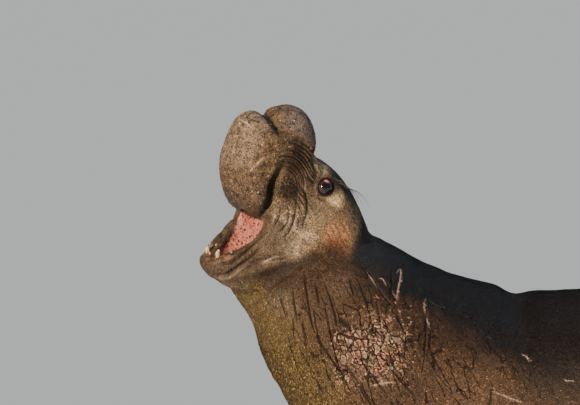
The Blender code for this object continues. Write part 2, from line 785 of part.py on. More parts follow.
def eye(name, side):
    forward, left, up = EYE_PLACE
    return ball(name, head_point(forward, side * left, up), (EYE_RADIUS,) * 3, (FORWARD, LEFT, UP))


def eye_outward(side):
    """Frame of an eye's opening: along it, up it, and out of the head."""
    out = head_vector(0.20, side * 0.93, 0.26).normalized()
    along = head_vector(1, 0, 0)
    along = (along - out * along.dot(out)).normalized()
    return along, out.cross(along).normalized(), out


def lids(side):
    """The fat rim of the lids round the ball of the eye."""
    forward, left, up = EYE_PLACE
    along, across, out = eye_outward(side)
    middle = head_point(forward, side * left, up) + out * 0.014
    return ring_form("lids", middle, (along, across, out), (0.0285, 0.0265), 0.0062, turns=20, sides=6)


def ear_rim(side):
    """The small raised lip round the ear hole, all the ear that a true seal has."""
    forward, left, up = EAR_PLACE
    axes = (FORWARD, UP, head_vector(0, side, 0))
    return ring_form("ear", head_point(forward, side * (left - 0.003), up), axes, (0.009, 0.007), 0.0045,
                     turns=14, sides=6)


def ear_hole(side):
    forward, left, up = EAR_PLACE
    return ball("hole", head_point(forward, side * (left + 0.002), up), (0.006, 0.016, 0.005),
                (FORWARD, LEFT, UP), detail=2)


def nostril(side):
    """A slit in the lower front of the nose, above the mouth."""
    out = head_vector(0.45, 0, -0.89).normalized()
    across = head_vector(0, 1, 0)
    slope = out.cross(across)
    lean = (across * 0.85 + slope * side * 0.45).normalized()
    other = out.cross(lean).normalized()
    return ball("nostril", head_point(0.342, side * 0.034, -0.136), (0.024, 0.010, 0.020),
                (lean, other, out), detail=2)


def painted(obj, name, colour, roughness):
    """Names a node and gives it a plain material of its own."""
    obj.name = name
    obj.data.name = name
    material = bpy.data.materials.new(name)
    material.use_nodes = True
    shader = material.node_tree.nodes["Principled BSDF"]
    shader.inputs["Base Color"].default_value = (*colour, 1)
    shader.inputs["Roughness"].default_value = roughness
    shader.inputs["Metallic"].default_value = 0
    obj.data.materials.clear()
    obj.data.materials.append(material)
    return obj


def moved_to_origin(objects):
    """Moves the meshes so that the model's box is centred on the row's origin, and tells by how much."""
    places = [vert.co for obj in objects for vert in obj.data.vertices]
    shift = Vector((-(min(p.x for p in places) + max(p.x for p in places)) / 2,
                    -(min(p.y for p in places) + max(p.y for p in places)) / 2, 0))
    for obj in objects:
        obj.data.transform(Matrix.Translation(shift))
    return shift


def parted_nodes(skin):
    """The skin cut into its nodes, from the nose back to the rump."""
    nodes = {"proboscis": parted(skin, "proboscis", NOSE_PART, head_point, 0.30),
             "lower_jaw": parted(skin, "lower_jaw", JAW_PART, head_point, 0.32)}
    for name, sign in (("fore_flipper_left", -1), ("fore_flipper_right", 1)):
        outline = [(0.50, sign * 0.500), (0.90, sign * 0.500), (1.30, sign * 0.900), (0.50, sign * 0.900)]
        nodes[name] = parted(skin, name, outline, plan_view, 0.18)
    for name, line in (("head", NECK_LINE), ("neck", CHEST_LINE), ("chest", TORSO_LINE), ("torso", HIND_LINE),
                       ("hindquarters", RUMP_LINE)):
        nodes[name] = parted(skin, name, across_line(line), side_view, 1.0)
    for name, sign in (("hind_flipper_left", -1), ("hind_flipper_right", 1)):
        outline = [(3.0, sign * 0.058), (4.2, sign * 0.058), (4.2, sign * 0.8), (3.0, sign * 0.8)]
        nodes[name] = parted(skin, name, outline, plan_view, 0.9)
    nodes["tail"] = skin
    return nodes


def main():
    for obj in list(bpy.data.objects):
        bpy.data.objects.remove(obj)
    skin = fused_skin()
    thinned(skin, on_trunk, TRUNK_TRIANGLES)
    thinned(skin, on_limb, LIMB_TRIANGLES)
    thinned(skin, on_head, HEAD_TRIANGLES)
    rest_on_floor(skin)
    nodes = parted_nodes(skin)

    for name, side in (("eye_left", 1), ("eye_right", -1)):
        nodes[name] = eye(name, side)
        socket = swollen(nodes[name], GAP)
        boolean(nodes["head"], lids(side), "UNION")
        boolean(nodes["head"], socket, "DIFFERENCE")
        boolean(nodes["head"], ear_rim(side), "UNION")
        boolean(nodes["head"], ear_hole(side), "DIFFERENCE")
        boolean(nodes["proboscis"], nostril(side), "DIFFERENCE")
        boolean(nodes["fore_flipper_" + name[4:]], claws(side), "UNION")
    boolean(nodes["head"], upper_teeth() + whiskers(), "UNION")
    nodes["tongue"] = head_loft("tongue", TONGUE, jaw_point, sides=20, steps=2)
    for name in ("lower_jaw", "head"):
        boolean(nodes["tongue"], swollen(nodes[name], GAP), "DIFFERENCE")
    boolean(nodes["lower_jaw"], lower_teeth(), "UNION")

    hide = (0.20, 0.15, 0.11)
    looks = {"proboscis": (0.22, 0.17, 0.13), "head": (0.27, 0.21, 0.15), "lower_jaw": (0.24, 0.17, 0.13),
             "tongue": (0.62, 0.25, 0.22), "eye_left": (0.02, 0.01, 0.01), "eye_right": (0.02, 0.01, 0.01)}
    for name, obj in nodes.items():
        painted(obj, name, looks.get(name, hide), 0.15 if name.startswith("eye") else 0.55)
    return moved_to_origin(list(nodes.values()))


SHIFT = main()
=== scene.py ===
import math
import random

import bmesh
import bpy
import numpy as np
from mathutils import Matrix, Vector
from mathutils.bvhtree import BVHTree
from mathutils.kdtree import KDTree


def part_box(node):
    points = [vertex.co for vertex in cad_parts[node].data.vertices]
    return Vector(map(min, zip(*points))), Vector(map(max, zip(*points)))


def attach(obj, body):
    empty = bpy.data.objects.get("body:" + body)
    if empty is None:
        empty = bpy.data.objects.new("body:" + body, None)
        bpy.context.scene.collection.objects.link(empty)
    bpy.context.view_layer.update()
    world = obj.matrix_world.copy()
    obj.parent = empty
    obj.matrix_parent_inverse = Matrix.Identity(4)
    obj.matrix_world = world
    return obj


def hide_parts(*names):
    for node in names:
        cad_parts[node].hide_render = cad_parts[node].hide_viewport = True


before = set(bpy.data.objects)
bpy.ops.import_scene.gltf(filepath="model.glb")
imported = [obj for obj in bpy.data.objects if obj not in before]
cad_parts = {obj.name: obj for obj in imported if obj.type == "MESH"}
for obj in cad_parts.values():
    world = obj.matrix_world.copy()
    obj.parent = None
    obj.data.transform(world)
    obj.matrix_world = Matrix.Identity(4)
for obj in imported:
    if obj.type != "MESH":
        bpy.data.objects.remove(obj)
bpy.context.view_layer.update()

# The body
# A bull lying on its belly with the chest reared: one thick hide over trunk, skull, jaw, nose and
# flippers. The forms are laid out as stations, fused into one closed skin, and the mouth is hollowed
# out before the nose is set over it. Lengths are in metres about the floor under the chest.

HEAD_PIVOT = Vector((0.136, 0.0, 0.911))
HEAD_PITCH, HEAD_TURN, HEAD_ROLL = math.radians(35), math.radians(28), math.radians(7)
JAW_DROP = math.radians(48.5)
GRAIN = 0.008

# Top x, z, bottom x, z and half width of the trunk, from inside the head back to the hips.
TRUNK = [(0.150, 0.990, -0.105, 0.790, 0.150), (0.196, 0.945, -0.192, 0.742, 0.200), (0.246, 0.895, -0.164, 0.684, 0.240),
         (0.334, 0.844, -0.118, 0.610, 0.280), (0.425, 0.793, -0.080, 0.490, 0.330), (0.530, 0.754, 0.000, 0.350, 0.380),
         (0.630, 0.728, 0.088, 0.190, 0.425), (0.715, 0.710, 0.235, 0.045, 0.460), (0.830, 0.710, 0.480, -0.030, 0.490),
         (1.020, 0.722, 0.890, -0.040, 0.505), (1.333, 0.722, 1.302, -0.040, 0.500), (1.705, 0.675, 1.705, -0.036, 0.455),
         (2.077, 0.585, 2.077, -0.028, 0.385), (2.449, 0.470, 2.449, -0.020, 0.300), (2.759, 0.362, 2.759, -0.012, 0.225),
         (3.000, 0.276, 3.000, -0.006, 0.165), (3.160, 0.215, 3.160, 0.010, 0.125)]
# Forward, top, bottom and half width in the head's or the dropped jaw's frame.
CRANIUM = [(-0.190, -0.020, -0.200, 0.165), (-0.110, 0.031, -0.205, 0.182), (-0.030, 0.081, -0.190, 0.178),
           (0.050, 0.122, -0.150, 0.162), (0.120, 0.141, -0.110, 0.145), (0.185, 0.144, -0.095, 0.134),
           (0.240, 0.144, -0.090, 0.126), (0.290, 0.126, -0.088, 0.120), (0.330, 0.100, -0.080, 0.108),
           (0.360, 0.060, -0.060, 0.085)]
JAW = [(0.060, 0.080, -0.140, 0.150), (0.130, 0.105, -0.155, 0.158), (0.210, 0.105, -0.152, 0.152),
       (0.285, 0.090, -0.142, 0.138), (0.342, 0.070, -0.120, 0.121), (0.388, 0.050, -0.090, 0.101),
       (0.418, 0.034, -0.058, 0.075)]
# Outer forward, outer up, inner forward, inner up and half width of the inflated nose.
NOSE = [(0.130, 0.106, 0.090, -0.060, 0.126), (0.188, 0.120, 0.120, -0.055, 0.108), (0.236, 0.140, 0.150, -0.050, 0.096),
        (0.257, 0.199, 0.170, -0.045, 0.101), (0.306, 0.229, 0.190, -0.040, 0.105), (0.356, 0.222, 0.205, -0.035, 0.106),
        (0.391, 0.191, 0.215, -0.030, 0.104), (0.418, 0.156, 0.222, -0.028, 0.103), (0.446, 0.140, 0.230, -0.030, 0.107),
        (0.470, 0.108, 0.235, -0.034, 0.113), (0.464, 0.050, 0.240, -0.042, 0.119), (0.446, -0.008, 0.242, -0.054, 0.123),
        (0.419, -0.058, 0.242, -0.070, 0.121), (0.376, -0.100, 0.238, -0.088, 0.113), (0.330, -0.131, 0.230, -0.104, 0.100),
        (0.284, -0.136, 0.225, -0.111, 0.078)]
MUZZLE = [(0.160, 0.085, -0.050, 0.120), (0.215, 0.112, -0.066, 0.124), (0.270, 0.138, -0.068, 0.122),
          (0.330, 0.165, -0.060, 0.130), (0.380, 0.145, -0.050, 0.124)]
THROAT = [(0.060, -0.070, -0.130, 0.045), (0.120, -0.066, -0.180, 0.064), (0.180, -0.060, -0.225, 0.076),
          (0.235, -0.060, -0.260, 0.080)]
PALATE = [(0.100, -0.052, -0.150, 0.060), (0.170, -0.046, -0.150, 0.072), (0.240, -0.052, -0.150, 0.070),
          (0.285, -0.066, -0.150, 0.050)]
JAW_FLOOR = [(0.150, 0.120, 0.000, 0.066), (0.220, 0.120, -0.014, 0.078), (0.290, 0.110, -0.020, 0.076),
             (0.340, 0.090, -0.012, 0.060), (0.366, 0.080, 0.002, 0.038)]
GAPE = [(0.246, -0.150), (0.254, -0.120), (0.276, -0.098), (0.306, -0.086), (0.420, -0.074),
        (0.500, -0.340), (0.345, -0.352), (0.322, -0.330), (0.294, -0.298), (0.270, -0.258),
        (0.254, -0.218), (0.246, -0.182)]

FORWARD = Vector((-math.cos(HEAD_PITCH) * math.cos(HEAD_TURN),
                  -math.cos(HEAD_PITCH) * math.sin(HEAD_TURN), math.sin(HEAD_PITCH)))
LEFT = Matrix.Rotation(-HEAD_ROLL, 3, FORWARD) @ Vector((math.sin(HEAD_TURN), -math.cos(HEAD_TURN), 0))
UP = FORWARD.cross(LEFT)


def head_vector(forward, left, up):
    return FORWARD * forward + LEFT * left + UP * up


def head_point(forward, left, up):
    return HEAD_PIVOT + head_vector(forward, left, up)


def jaw_point(forward, left, up):
    c, s = math.cos(JAW_DROP), math.sin(JAW_DROP)
    return head_point(forward * c + up * s, left, up * c - forward * s)


def smooth_rows(rows, steps):
    """Rows of numbers joined by a smooth curve, with this many steps between neighbours."""
    rows = np.array(rows, float)
    padded = np.vstack([2 * rows[0] - rows[1], rows, 2 * rows[-1] - rows[-2]])
    out = []
    for i in range(1, len(padded) - 2):
        a, b, c, d = padded[i - 1:i + 3]
        for t in np.arange(steps) / steps:
            out.append(0.5 * (2 * b + (c - a) * t + (2 * a - 5 * b + 4 * c - d) * t**2
                              + (3 * b - a - 3 * c + d) * t**3))
    out.append(rows[-1])
    return np.array(out)


def mesh_object(name, points, faces):
    """A closed mesh in the scene, turned to face outwards."""
    mesh = bpy.data.meshes.new(name)
    mesh.from_pydata([tuple(p) for p in points], [], faces)
    bm = bmesh.new()
    bm.from_mesh(mesh)
    bmesh.ops.recalc_face_normals(bm, faces=bm.faces)
    bm.to_mesh(mesh)
    bm.free()
    obj = bpy.data.objects.new(name, mesh)
    bpy.context.scene.collection.objects.link(obj)
    return obj


def ring_faces(rings, sides, closed=False):
    """Faces between rings of points that lie one after another, with a cap on each end."""
    faces = []
    for r in range(rings if closed else rings - 1):
        a, b = r * sides, (r + 1) % rings * sides
        faces += [(a + k, a + (k + 1) % sides, b + (k + 1) % sides, b + k) for k in range(sides)]
    if not closed:
        faces += [tuple(range(sides))[::-1], tuple(range((rings - 1) * sides, rings * sides))]
    return faces


def loft(name, rings, sides=32, fullness=2.0):
    """A closed form through rings of (middle, half depth, half width), with domed ends."""
    rings = domed(rings[0], rings[1][0])[::-1] + list(rings) + domed(rings[-1], rings[-2][0])
    points = []
    for middle, depth, width in rings:
        for k in range(sides):
            c, s = math.cos(2 * math.pi * k / sides), math.sin(2 * math.pi * k / sides)
            points.append(Vector(middle) + Vector(width) * math.copysign(abs(c) ** (2 / fullness), c)
                          + Vector(depth) * math.copysign(abs(s) ** (2 / fullness), s))
    return mesh_object(name, points, ring_faces(len(rings), sides))


def domed(ring, inner, steps=4):
    """Shrinking rings that close a loft away from its inner neighbour."""
    middle, depth, width = (Vector(v) for v in ring)
    away = (middle - Vector(inner)).normalized() * min(depth.length, width.length) * 0.75
    turns = [0.5 * math.pi * k / (steps + 0.35) for k in range(1, steps + 1)]
    return [(middle + away * math.sin(t), depth * math.cos(t), width * math.cos(t)) for t in turns]


def head_loft(name, rows, place, sides=32, fullness=2.2, steps=4):
    rings = []
    for forward, top, bottom, half in smooth_rows(rows, steps):
        middle = place(forward, 0, (top + bottom) / 2)
        rings.append((middle, place(forward, 0, top) - middle, LEFT * half))
    return loft(name, rings, sides, fullness)


def trunk_form():
    rings = []
    for tx, tz, bx, bz, half in smooth_rows(TRUNK, 4):
        middle = Vector(((tx + bx) / 2, 0, (tz + bz) / 2))
        rings.append((middle, Vector((tx, 0, tz)) - middle, Vector((0, half, 0))))
    return loft("trunk", rings, sides=48, fullness=2.15)


def nose_form():
    rings = []
    for of, ou, nf, nu, half in smooth_rows(NOSE, 4):
        middle = head_point((of + nf) / 2, 0, (ou + nu) / 2)
        rings.append((middle, head_point(of, 0, ou) - middle, LEFT * half))
    return loft("nose", rings, sides=40, fullness=2.45)


def ball(name, middle, radii, detail=3):
    """An ellipsoid with its radii along the head's forward, left and up."""
    bm = bmesh.new()
    bmesh.ops.create_icosphere(bm, subdivisions=detail, radius=1)
    points = [middle + head_vector(*(vert.co[i] * radii[i] for i in range(3))) for vert in bm.verts]
    faces = [tuple(vert.index for vert in face.verts) for face in bm.faces]
    bm.free()
    return mesh_object(name, points, faces)


def limb(name, rows, across, sides=14):
    """A flattened form along rows of point, half thickness and half breadth."""
    path = smooth_rows([(*point, depth, half) for point, depth, half in rows], 4)
    rings = []
    for n, (x, y, z, depth, half) in enumerate(path):
        ahead = Vector(path[min(n + 1, len(path) - 1)][:3] - path[max(n - 1, 0)][:3]).normalized()
        breadth = (across - ahead * across.dot(ahead)).normalized()
        rings.append((Vector((x, y, z)), ahead.cross(breadth) * depth, breadth * half))
    return loft(name, rings, sides)


def webbed_fan(root, rays, across, toe, notch, thickness):
    """Toes spread from a root with a scalloped web between them."""
    thick, broad, thin, narrow = toe
    forms, rim = [], [root]
    for k, (ahead, reach) in enumerate(rays):
        forms.append(limb("toe", [(root + ahead * 0.06 * reach, thick, broad),
                                  (root + ahead * 0.55 * reach, (thick + thin) / 2, broad),
                                  (root + ahead * reach, thin, narrow)], across))
        rim.append(root + ahead * reach)
        if k < len(rays) - 1:
            after, after_reach = rays[k + 1]
            for t in (0.25, 0.5, 0.75):
                way = ahead.lerp(after, t).normalized()
                rim.append(root + way * (reach + (after_reach - reach) * t - notch * math.sin(math.pi * t)))
    normal = (rim[1] - root).cross(rim[-1] - root).normalized() * thickness / 2
    points = [p + normal * sign for sign in (-1, 1) for p in rim]
    return forms + [mesh_object("web", points, ring_faces(2, len(rim)))]


def beside(side, x, y, z):
    """A place given for the animal's right side, on the side asked for."""
    return Vector((x, -side * y, z))


def spread(along, across, swings, lengths):
    return [(along * math.cos(math.radians(a)) + across * math.sin(math.radians(a)), reach)
            for a, reach in zip(swings, lengths)]


def finger_rays(side):
    along = beside(side, 0.62, 0.785, -0.075).normalized()
    across = beside(side, 0.785, -0.62, 0.0).normalized()
    rays = spread(along, across, (-24, -13, -2, 9, 20), (0.430, 0.425, 0.400, 0.360, 0.310))
    return beside(side, 0.635, 0.490, 0.040), rays, across


def fore_flipper(side):
    root, rays, across = finger_rays(side)
    palm = [(0.56, 0.300, 0.200, 0.115, 0.140), (0.61, 0.430, 0.120, 0.070, 0.124),
            (0.66, 0.520, 0.066, 0.048, 0.120), (0.72, 0.600, 0.036, 0.030, 0.120),
            (0.77, 0.670, 0.024, 0.018, 0.110)]
    rows = [(beside(side, x, y, z), thick, broad) for x, y, z, thick, broad in palm]
    return ([limb("palm", rows, beside(side, 0.80, -0.60, 0.0), 20)]
            + webbed_fan(root, rays, across, (0.026, 0.028, 0.012, 0.019), 0.016, 0.024))


def hind_flipper(side):
    along = beside(side, 0.945, 0.26, 0.17).normalized()
    across = beside(side, 0.0, 0.45, 0.89)
    across = (across - along * across.dot(along)).normalized()
    sole = [(3.060, 0.078, 0.118, 0.078, 0.096), (3.230, 0.114, 0.128, 0.048, 0.076),
            (3.360, 0.150, 0.142, 0.028, 0.094)]
    rows = [(beside(side, x, y, z), thick, broad) for x, y, z, thick, broad in sole]
    rays = spread(along, across, (-27, -13, 0, 13, 27), (0.500, 0.435, 0.390, 0.435, 0.530))
    return ([limb("sole", rows, across, 20)]
            + webbed_fan(beside(side, 3.225, 0.112, 0.128), rays, across, (0.026, 0.026, 0.011, 0.021),
                         0.024, 0.018))


def applied(obj):
    graph = bpy.context.evaluated_depsgraph_get()
    obj.data = bpy.data.meshes.new_from_object(obj.evaluated_get(graph))
    obj.modifiers.clear()
    return obj


def fused(name, objects):
    """Several closed forms in one skin of small squares."""
    bm = bmesh.new()
    for obj in objects:
        bm.from_mesh(obj.data)
        bpy.data.objects.remove(obj)
    mesh = bpy.data.meshes.new(name)
    bm.to_mesh(mesh)
    bm.free()
    obj = bpy.data.objects.new(name, mesh)
    bpy.context.scene.collection.objects.link(obj)
    grain = obj.modifiers.new("grain", "REMESH")
    grain.mode = "VOXEL"
    grain.voxel_size = GRAIN
    return applied(obj)


def hollowed(obj, tool):
    cut = obj.modifiers.new("cut", "BOOLEAN")
    cut.operation = "DIFFERENCE"
    cut.solver = "MANIFOLD"
    cut.object = tool
    applied(obj)
    bpy.data.objects.remove(tool)


def relaxed(obj, rounds):
    smooth = obj.modifiers.new("relax", "SMOOTH")
    smooth.factor = 0.5
    smooth.iterations = rounds
    return applied(obj)


def rest_on_floor(obj):
    for vert in obj.data.vertices:
        if vert.co.z < 0.003:
            vert.co.z = 0.0


PAD = (0.269, 0.104, -0.006)
skull = fused("skull", [trunk_form(), head_loft("cranium", CRANIUM, head_point),
                        head_loft("jaw", JAW, jaw_point)]
              + [ball("pad", head_point(PAD[0], side * PAD[1], PAD[2]), (0.036, 0.036, 0.036))
                 for side in (-1, 1)]
              + [ball("cheek", head_point(0.190, side * 0.096, -0.118), (0.088, 0.050, 0.090))
                 for side in (-1, 1)])
gape = [head_point(a, side * 0.30, b) for side in (-1, 1) for a, b in GAPE]
hollowed(skull, mesh_object("gape", gape, ring_faces(2, len(GAPE))))
for rows, place in ((THROAT, head_point), (PALATE, head_point), (JAW_FLOOR, jaw_point)):
    hollowed(skull, head_loft("hollow", rows, place))
tail_rings = [(Vector((x, 0, z)), Vector((0, 0, depth)), Vector((0, half, 0)))
              for x, z, depth, half in ((3.12, 0.115, 0.070, 0.080), (3.24, 0.116, 0.030, 0.040),
                                        (3.33, 0.112, 0.018, 0.028))]
limbs = [piece for side in (-1, 1) for piece in fore_flipper(side) + hind_flipper(side)]
far_lip = [((0.252, -0.100, -0.168), 0.012), ((0.252, -0.101, -0.200), 0.014), ((0.260, -0.098, -0.240), 0.014),
           ((0.274, -0.086, -0.264), 0.010)]
skin = fused("skin", [skull, loft("tail", tail_rings, sides=20), nose_form(),
                      head_loft("muzzle", MUZZLE, head_point, fullness=2.8),
                      limb("lip", [(head_point(*place), thick, thick) for place, thick in far_lip], LEFT)] + limbs)
rest_on_floor(skin)
relaxed(skin, 8)

# The folds of the hide
# Thick blubbery skin creases where the nose bends, round the whisker pads and eyes, along the lower
# lip, and in long cracks down the scarred neck. Each is a line laid on the skin and pressed in, and the
# skin is woven finer along it.


def places_of(obj):
    out = np.empty(len(obj.data.vertices) * 3)
    obj.data.vertices.foreach_get("co", out)
    return out.reshape(-1, 3)


def normals_of(obj):
    out = np.empty(len(obj.data.vertices) * 3)
    obj.data.vertex_normals.foreach_get("vector", out)
    return out.reshape(-1, 3)


def moved(obj, places):
    obj.data.vertices.foreach_set("co", places.ravel())
    obj.data.update()


def smoothstep(low, high, value):
    share = np.clip((value - low) / (high - low), 0, 1)
    return share * share * (3 - 2 * share)


def rumple(places, size, seed):
    """Smooth noise from -1 to 1 with lumps of about this size."""
    spots = places / size
    low = np.floor(spots).astype(np.int64)
    share = spots - low
    share = share * share * (3 - 2 * share)
    total = np.zeros(len(places))
    for corner in np.ndindex(2, 2, 2):
        cell = low + np.array(corner)
        code = (cell[:, 0] * 73856093) ^ (cell[:, 1] * 19349663) ^ (cell[:, 2] * 83492791) ^ (seed * 9176263)
        code = (code ^ (code >> 13)) * 1274126177
        draw = ((code ^ (code >> 16)) & 0xFFFF) / 32767.5 - 1
        total += draw * np.prod(np.where(corner, share, 1 - share), axis=1)
    return total


class Slabs:
    """Points sorted by x, so that the few near a line are found quickly."""

    def __init__(self, places):
        self.order = np.argsort(places[:, 0])
        self.sorted_x = places[self.order, 0]

    def near(self, places, low, high):
        first, last = np.searchsorted(self.sorted_x, (low[0] - 0.01, high[0] + 0.01))
        slab = self.order[first:last]
        return slab[((places[slab] > low) & (places[slab] < high)).all(1)]


def along_line(places, slabs, line, width):
    """The skin near a line: its points, how far off the line each lies, and its share of the way."""
    near = slabs.near(places, line.min(0) - 3 * width, line.max(0) + 3 * width)
    best = np.full(len(near), np.inf)
    share = np.zeros(len(near))
    for n in range(len(line) - 1):
        step = line[n + 1] - line[n]
        t = np.clip(((places[near] - line[n]) @ step) / max(step @ step, 1e-12), 0, 1)
        gap = np.linalg.norm(places[near] - line[n] - t[:, None] * step, axis=1)
        closer = gap < best
        best[closer] = gap[closer]
        share[closer] = ((n + t) / (len(line) - 1))[closer]
    return near, best, share


def pressed(places, slabs, normals, line, depth, width):
    """Presses one groove in, or raises a ridge, and tells how deep each point lies in it."""
    near, gap, share = along_line(places, slabs, line, width)
    fade = np.sqrt(np.clip(np.sin(math.pi * np.clip(share, 0.02, 0.98)), 0, 1))
    fall = fade * np.exp(-(gap / width) ** 2)
    places[near] -= normals[near] * (depth * fall)[:, None]
    return near, fall


def laid(tree, points):
    """A line through these points, drawn onto the nearest skin."""
    line = smooth_rows([tuple(p) for p in points], 6)
    line = np.array([tree.find_nearest(Vector(p))[0] for p in line])
    for _ in range(4):
        line[1:-1] = (line[:-2] + 2 * line[1:-1] + line[2:]) / 4
    return line


bare_tree = BVHTree.FromObject(skin, bpy.context.evaluated_depsgraph_get())
broad_folds = [
    # across the root of the nose
    ([head_point(0.196, lat, 0.150 - 2.4 * lat * lat) for lat in (-0.12, -0.06, 0, 0.06, 0.12)], 0.006, 0.016),
    # over the shoulders, and across the nape
    ([Vector((0.705 - 0.005 * abs(c), 0.37 * s, z)) for s, z, c in
      ((1, 0.40, 0), (0.65, 0.64, 1), (0, 0.72, 1), (-0.65, 0.64, 1), (-1, 0.40, 0))], 0.013, 0.040),
    ([Vector((x, y, z)) for x, y, z in ((0.245, 0.22, 0.78), (0.262, 0.12, 0.88), (0.268, 0, 0.90),
                                        (0.262, -0.12, 0.88), (0.245, -0.22, 0.78))], 0.004, 0.020)]
for side in (1, -1):
    broad_folds += [
        # between the nose's two lobes, from the middle to the side
        ([head_point(0.420 - 3.2 * a * a, side * a, 0.156 - 1.8 * a * a) for a in (0, 0.03, 0.06, 0.09, 0.115)],
         0.024, 0.014),
        # between the nose and the whisker pad, in front of the eye, along the lower lip, under it
        ([head_point(f, side * a, u) for f, a, u in
          ((0.318, 0.122, 0.044), (0.316, 0.124, 0.006), (0.304, 0.120, -0.030), (0.284, 0.114, -0.056),
           (0.273, 0.106, -0.088), (0.266, 0.098, -0.118))], 0.020, 0.011),
        ([head_point(f, side * a, u) for f, a, u in
          ((0.176, 0.134, 0.100), (0.168, 0.144, 0.062), (0.160, 0.148, 0.020))], 0.008, 0.010),
        ([jaw_point(f, side * a, u) for f, a, u in
          ((0.250, 0.160, 0.005), (0.310, 0.140, -0.010), (0.370, 0.120, -0.020), (0.420, 0.075, -0.025))],
         0.008, 0.010),
        ([jaw_point(f, side * a, u) for f, a, u in
          ((0.180, 0.168, -0.040), (0.260, 0.160, -0.055), (0.340, 0.130, -0.065))], 0.007, 0.012)]
spots, out = places_of(skin), normals_of(skin)
slabs = Slabs(spots)
for points, depth, width in broad_folds:
    pressed(spots, slabs, out, laid(bare_tree, points), depth, width)
moved(skin, spots)
relaxed(skin, 1)
rest_on_floor(skin)
bare_tree = BVHTree.FromObject(skin, bpy.context.evaluated_depsgraph_get())


def head_side(side, forward, up):
    """The place on the side of the head that is seen square on at this forward and up."""
    hit = bare_tree.ray_cast(head_point(forward, side * 0.5, up), LEFT * -side)[0]
    return hit or head_point(forward, side * 0.11, up)


def body_side(side, x, z):
    """The place on the flank that is seen square on from the side at this x and z."""
    hit = bare_tree.ray_cast(Vector((x, -side * 1.5, z)), Vector((0, side, 0)))[0]
    return hit or Vector((x, -side * 0.3, z))


# Folds of the face: kind, depth, half width, then forward and up along the line.
FACE_FOLDS = [
    ("groove", 0.010, 0.0078, (0.322, 0.046), (0.316, 0.006), (0.304, -0.030), (0.284, -0.056), (0.273, -0.088),
     (0.266, -0.118)),
    ("fold", 0.006, 0.0045, (0.253, 0.033), (0.211, 0.018), (0.187, -0.003), (0.160, -0.035), (0.150, -0.070)),
    ("fold", 0.005, 0.0040, (0.236, 0.004), (0.204, -0.031), (0.190, -0.075), (0.184, -0.110), (0.190, -0.140)),
    ("fold", 0.003, 0.0030, (0.259, 0.063), (0.226, 0.058), (0.195, 0.047)),
    ("fold", 0.003, 0.0032, (0.235, -0.039), (0.213, -0.064), (0.206, -0.102), (0.212, -0.135)),
    ("fold", 0.003, 0.0030, (0.247, -0.056), (0.237, -0.088), (0.233, -0.128)),
    ("fold", 0.002, 0.0026, (0.222, 0.004), (0.196, -0.022), (0.176, -0.060), (0.166, -0.095)),
    ("fold", 0.002, 0.0026, (0.243, -0.010), (0.222, -0.040), (0.214, -0.062)),
    ("groove", 0.008, 0.0050, (0.184, 0.112), (0.196, 0.086), (0.194, 0.058), (0.178, 0.036), (0.155, 0.024),
     (0.133, 0.026)),
    ("groove", 0.010, 0.0090, (0.250, 0.148), (0.232, 0.122), (0.212, 0.092)),
    ("fold", 0.003, 0.0030, (0.232, 0.140), (0.218, 0.112), (0.206, 0.082)),
    ("fold", 0.0014, 0.0036, (0.095, -0.014), (0.065, -0.030), (0.030, -0.053)),
    ("fold", 0.0014, 0.0036, (0.085, -0.003), (0.051, -0.020), (0.012, -0.047)),
    ("fold", 0.0014, 0.0036, (0.075, 0.011), (0.040, -0.001), (0.008, -0.020)),
    ("fold", 0.0012, 0.0030, (0.100, -0.030), (0.074, -0.046), (0.044, -0.076)),
    ("groove", 0.007, 0.0050, (0.288, -0.315), (0.265, -0.282), (0.251, -0.230), (0.243, -0.194), (0.240, -0.152)),
    ("groove", 0.008, 0.0052, (0.268, -0.344), (0.249, -0.327), (0.245, -0.297), (0.238, -0.260), (0.231, -0.229),
     (0.222, -0.196)),
    ("ridge", -0.005, 0.0060, (0.256, -0.350), (0.238, -0.335), (0.232, -0.300), (0.224, -0.262)),
    ("fold", 0.004, 0.0045, (0.300, -0.290), (0.280, -0.262), (0.266, -0.222), (0.256, -0.186)),
    ("fold", 0.002, 0.0060, (0.245, -0.285), (0.221, -0.251), (0.189, -0.213), (0.147, -0.186), (0.116, -0.152)),
    ("fold", 0.003, 0.0150, (0.184, -0.287), (0.148, -0.231), (0.118, -0.184), (0.097, -0.143), (0.078, -0.091)),
    ("ridge", -0.002, 0.0030, (0.196, -0.236), (0.170, -0.214), (0.140, -0.182), (0.112, -0.140)),
    ("mark", 0.002, 0.0030, (0.362, 0.056), (0.354, 0.050)),
    ("mark", 0.002, 0.0026, (0.354, 0.018), (0.346, 0.010)),
]
lines = []
for side in (1, -1):
    for kind, depth, width, *pairs in FACE_FOLDS:
        lines.append((kind, laid(bare_tree, [head_side(side, f, u) for f, u in pairs]), depth, width))
    # arcs of wrinkled skin that stand round the whisker pad, up to the rear lobe of the nose
    for radius, first, last, depth in ((0.045, 15, 165, 0.002), (0.053, 19, 150, 0.003), (0.061, 30, 165, 0.002),
                                       (0.068, 17, 160, 0.004), (0.077, 40, 158, 0.002), (0.086, 30, 158, 0.004),
                                       (0.096, 60, 155, 0.003), (0.105, 50, 152, 0.004), (0.116, 75, 150, 0.003),
                                       (0.127, 62, 147, 0.004), (0.139, 70, 140, 0.003)):
        arc = [head_side(side, 0.282 + radius * math.cos(math.radians(a)), radius * math.sin(math.radians(a)))
               for a in np.linspace(first, last, 8)]
        lines.append(("fold", laid(bare_tree, arc), depth * 1.4, 0.0032))
    # painted shade along the shadowed bottom of the crease between the nose's lobes; this line presses nothing in
    lines.append(("stain", laid(bare_tree, [head_point(0.420 - 3.2 * a * a, side * a, 0.156 - 1.8 * a * a)
                                            for a in (-0.08, -0.04, 0, 0.04, 0.08, 0.115)]), 0, 0.014))

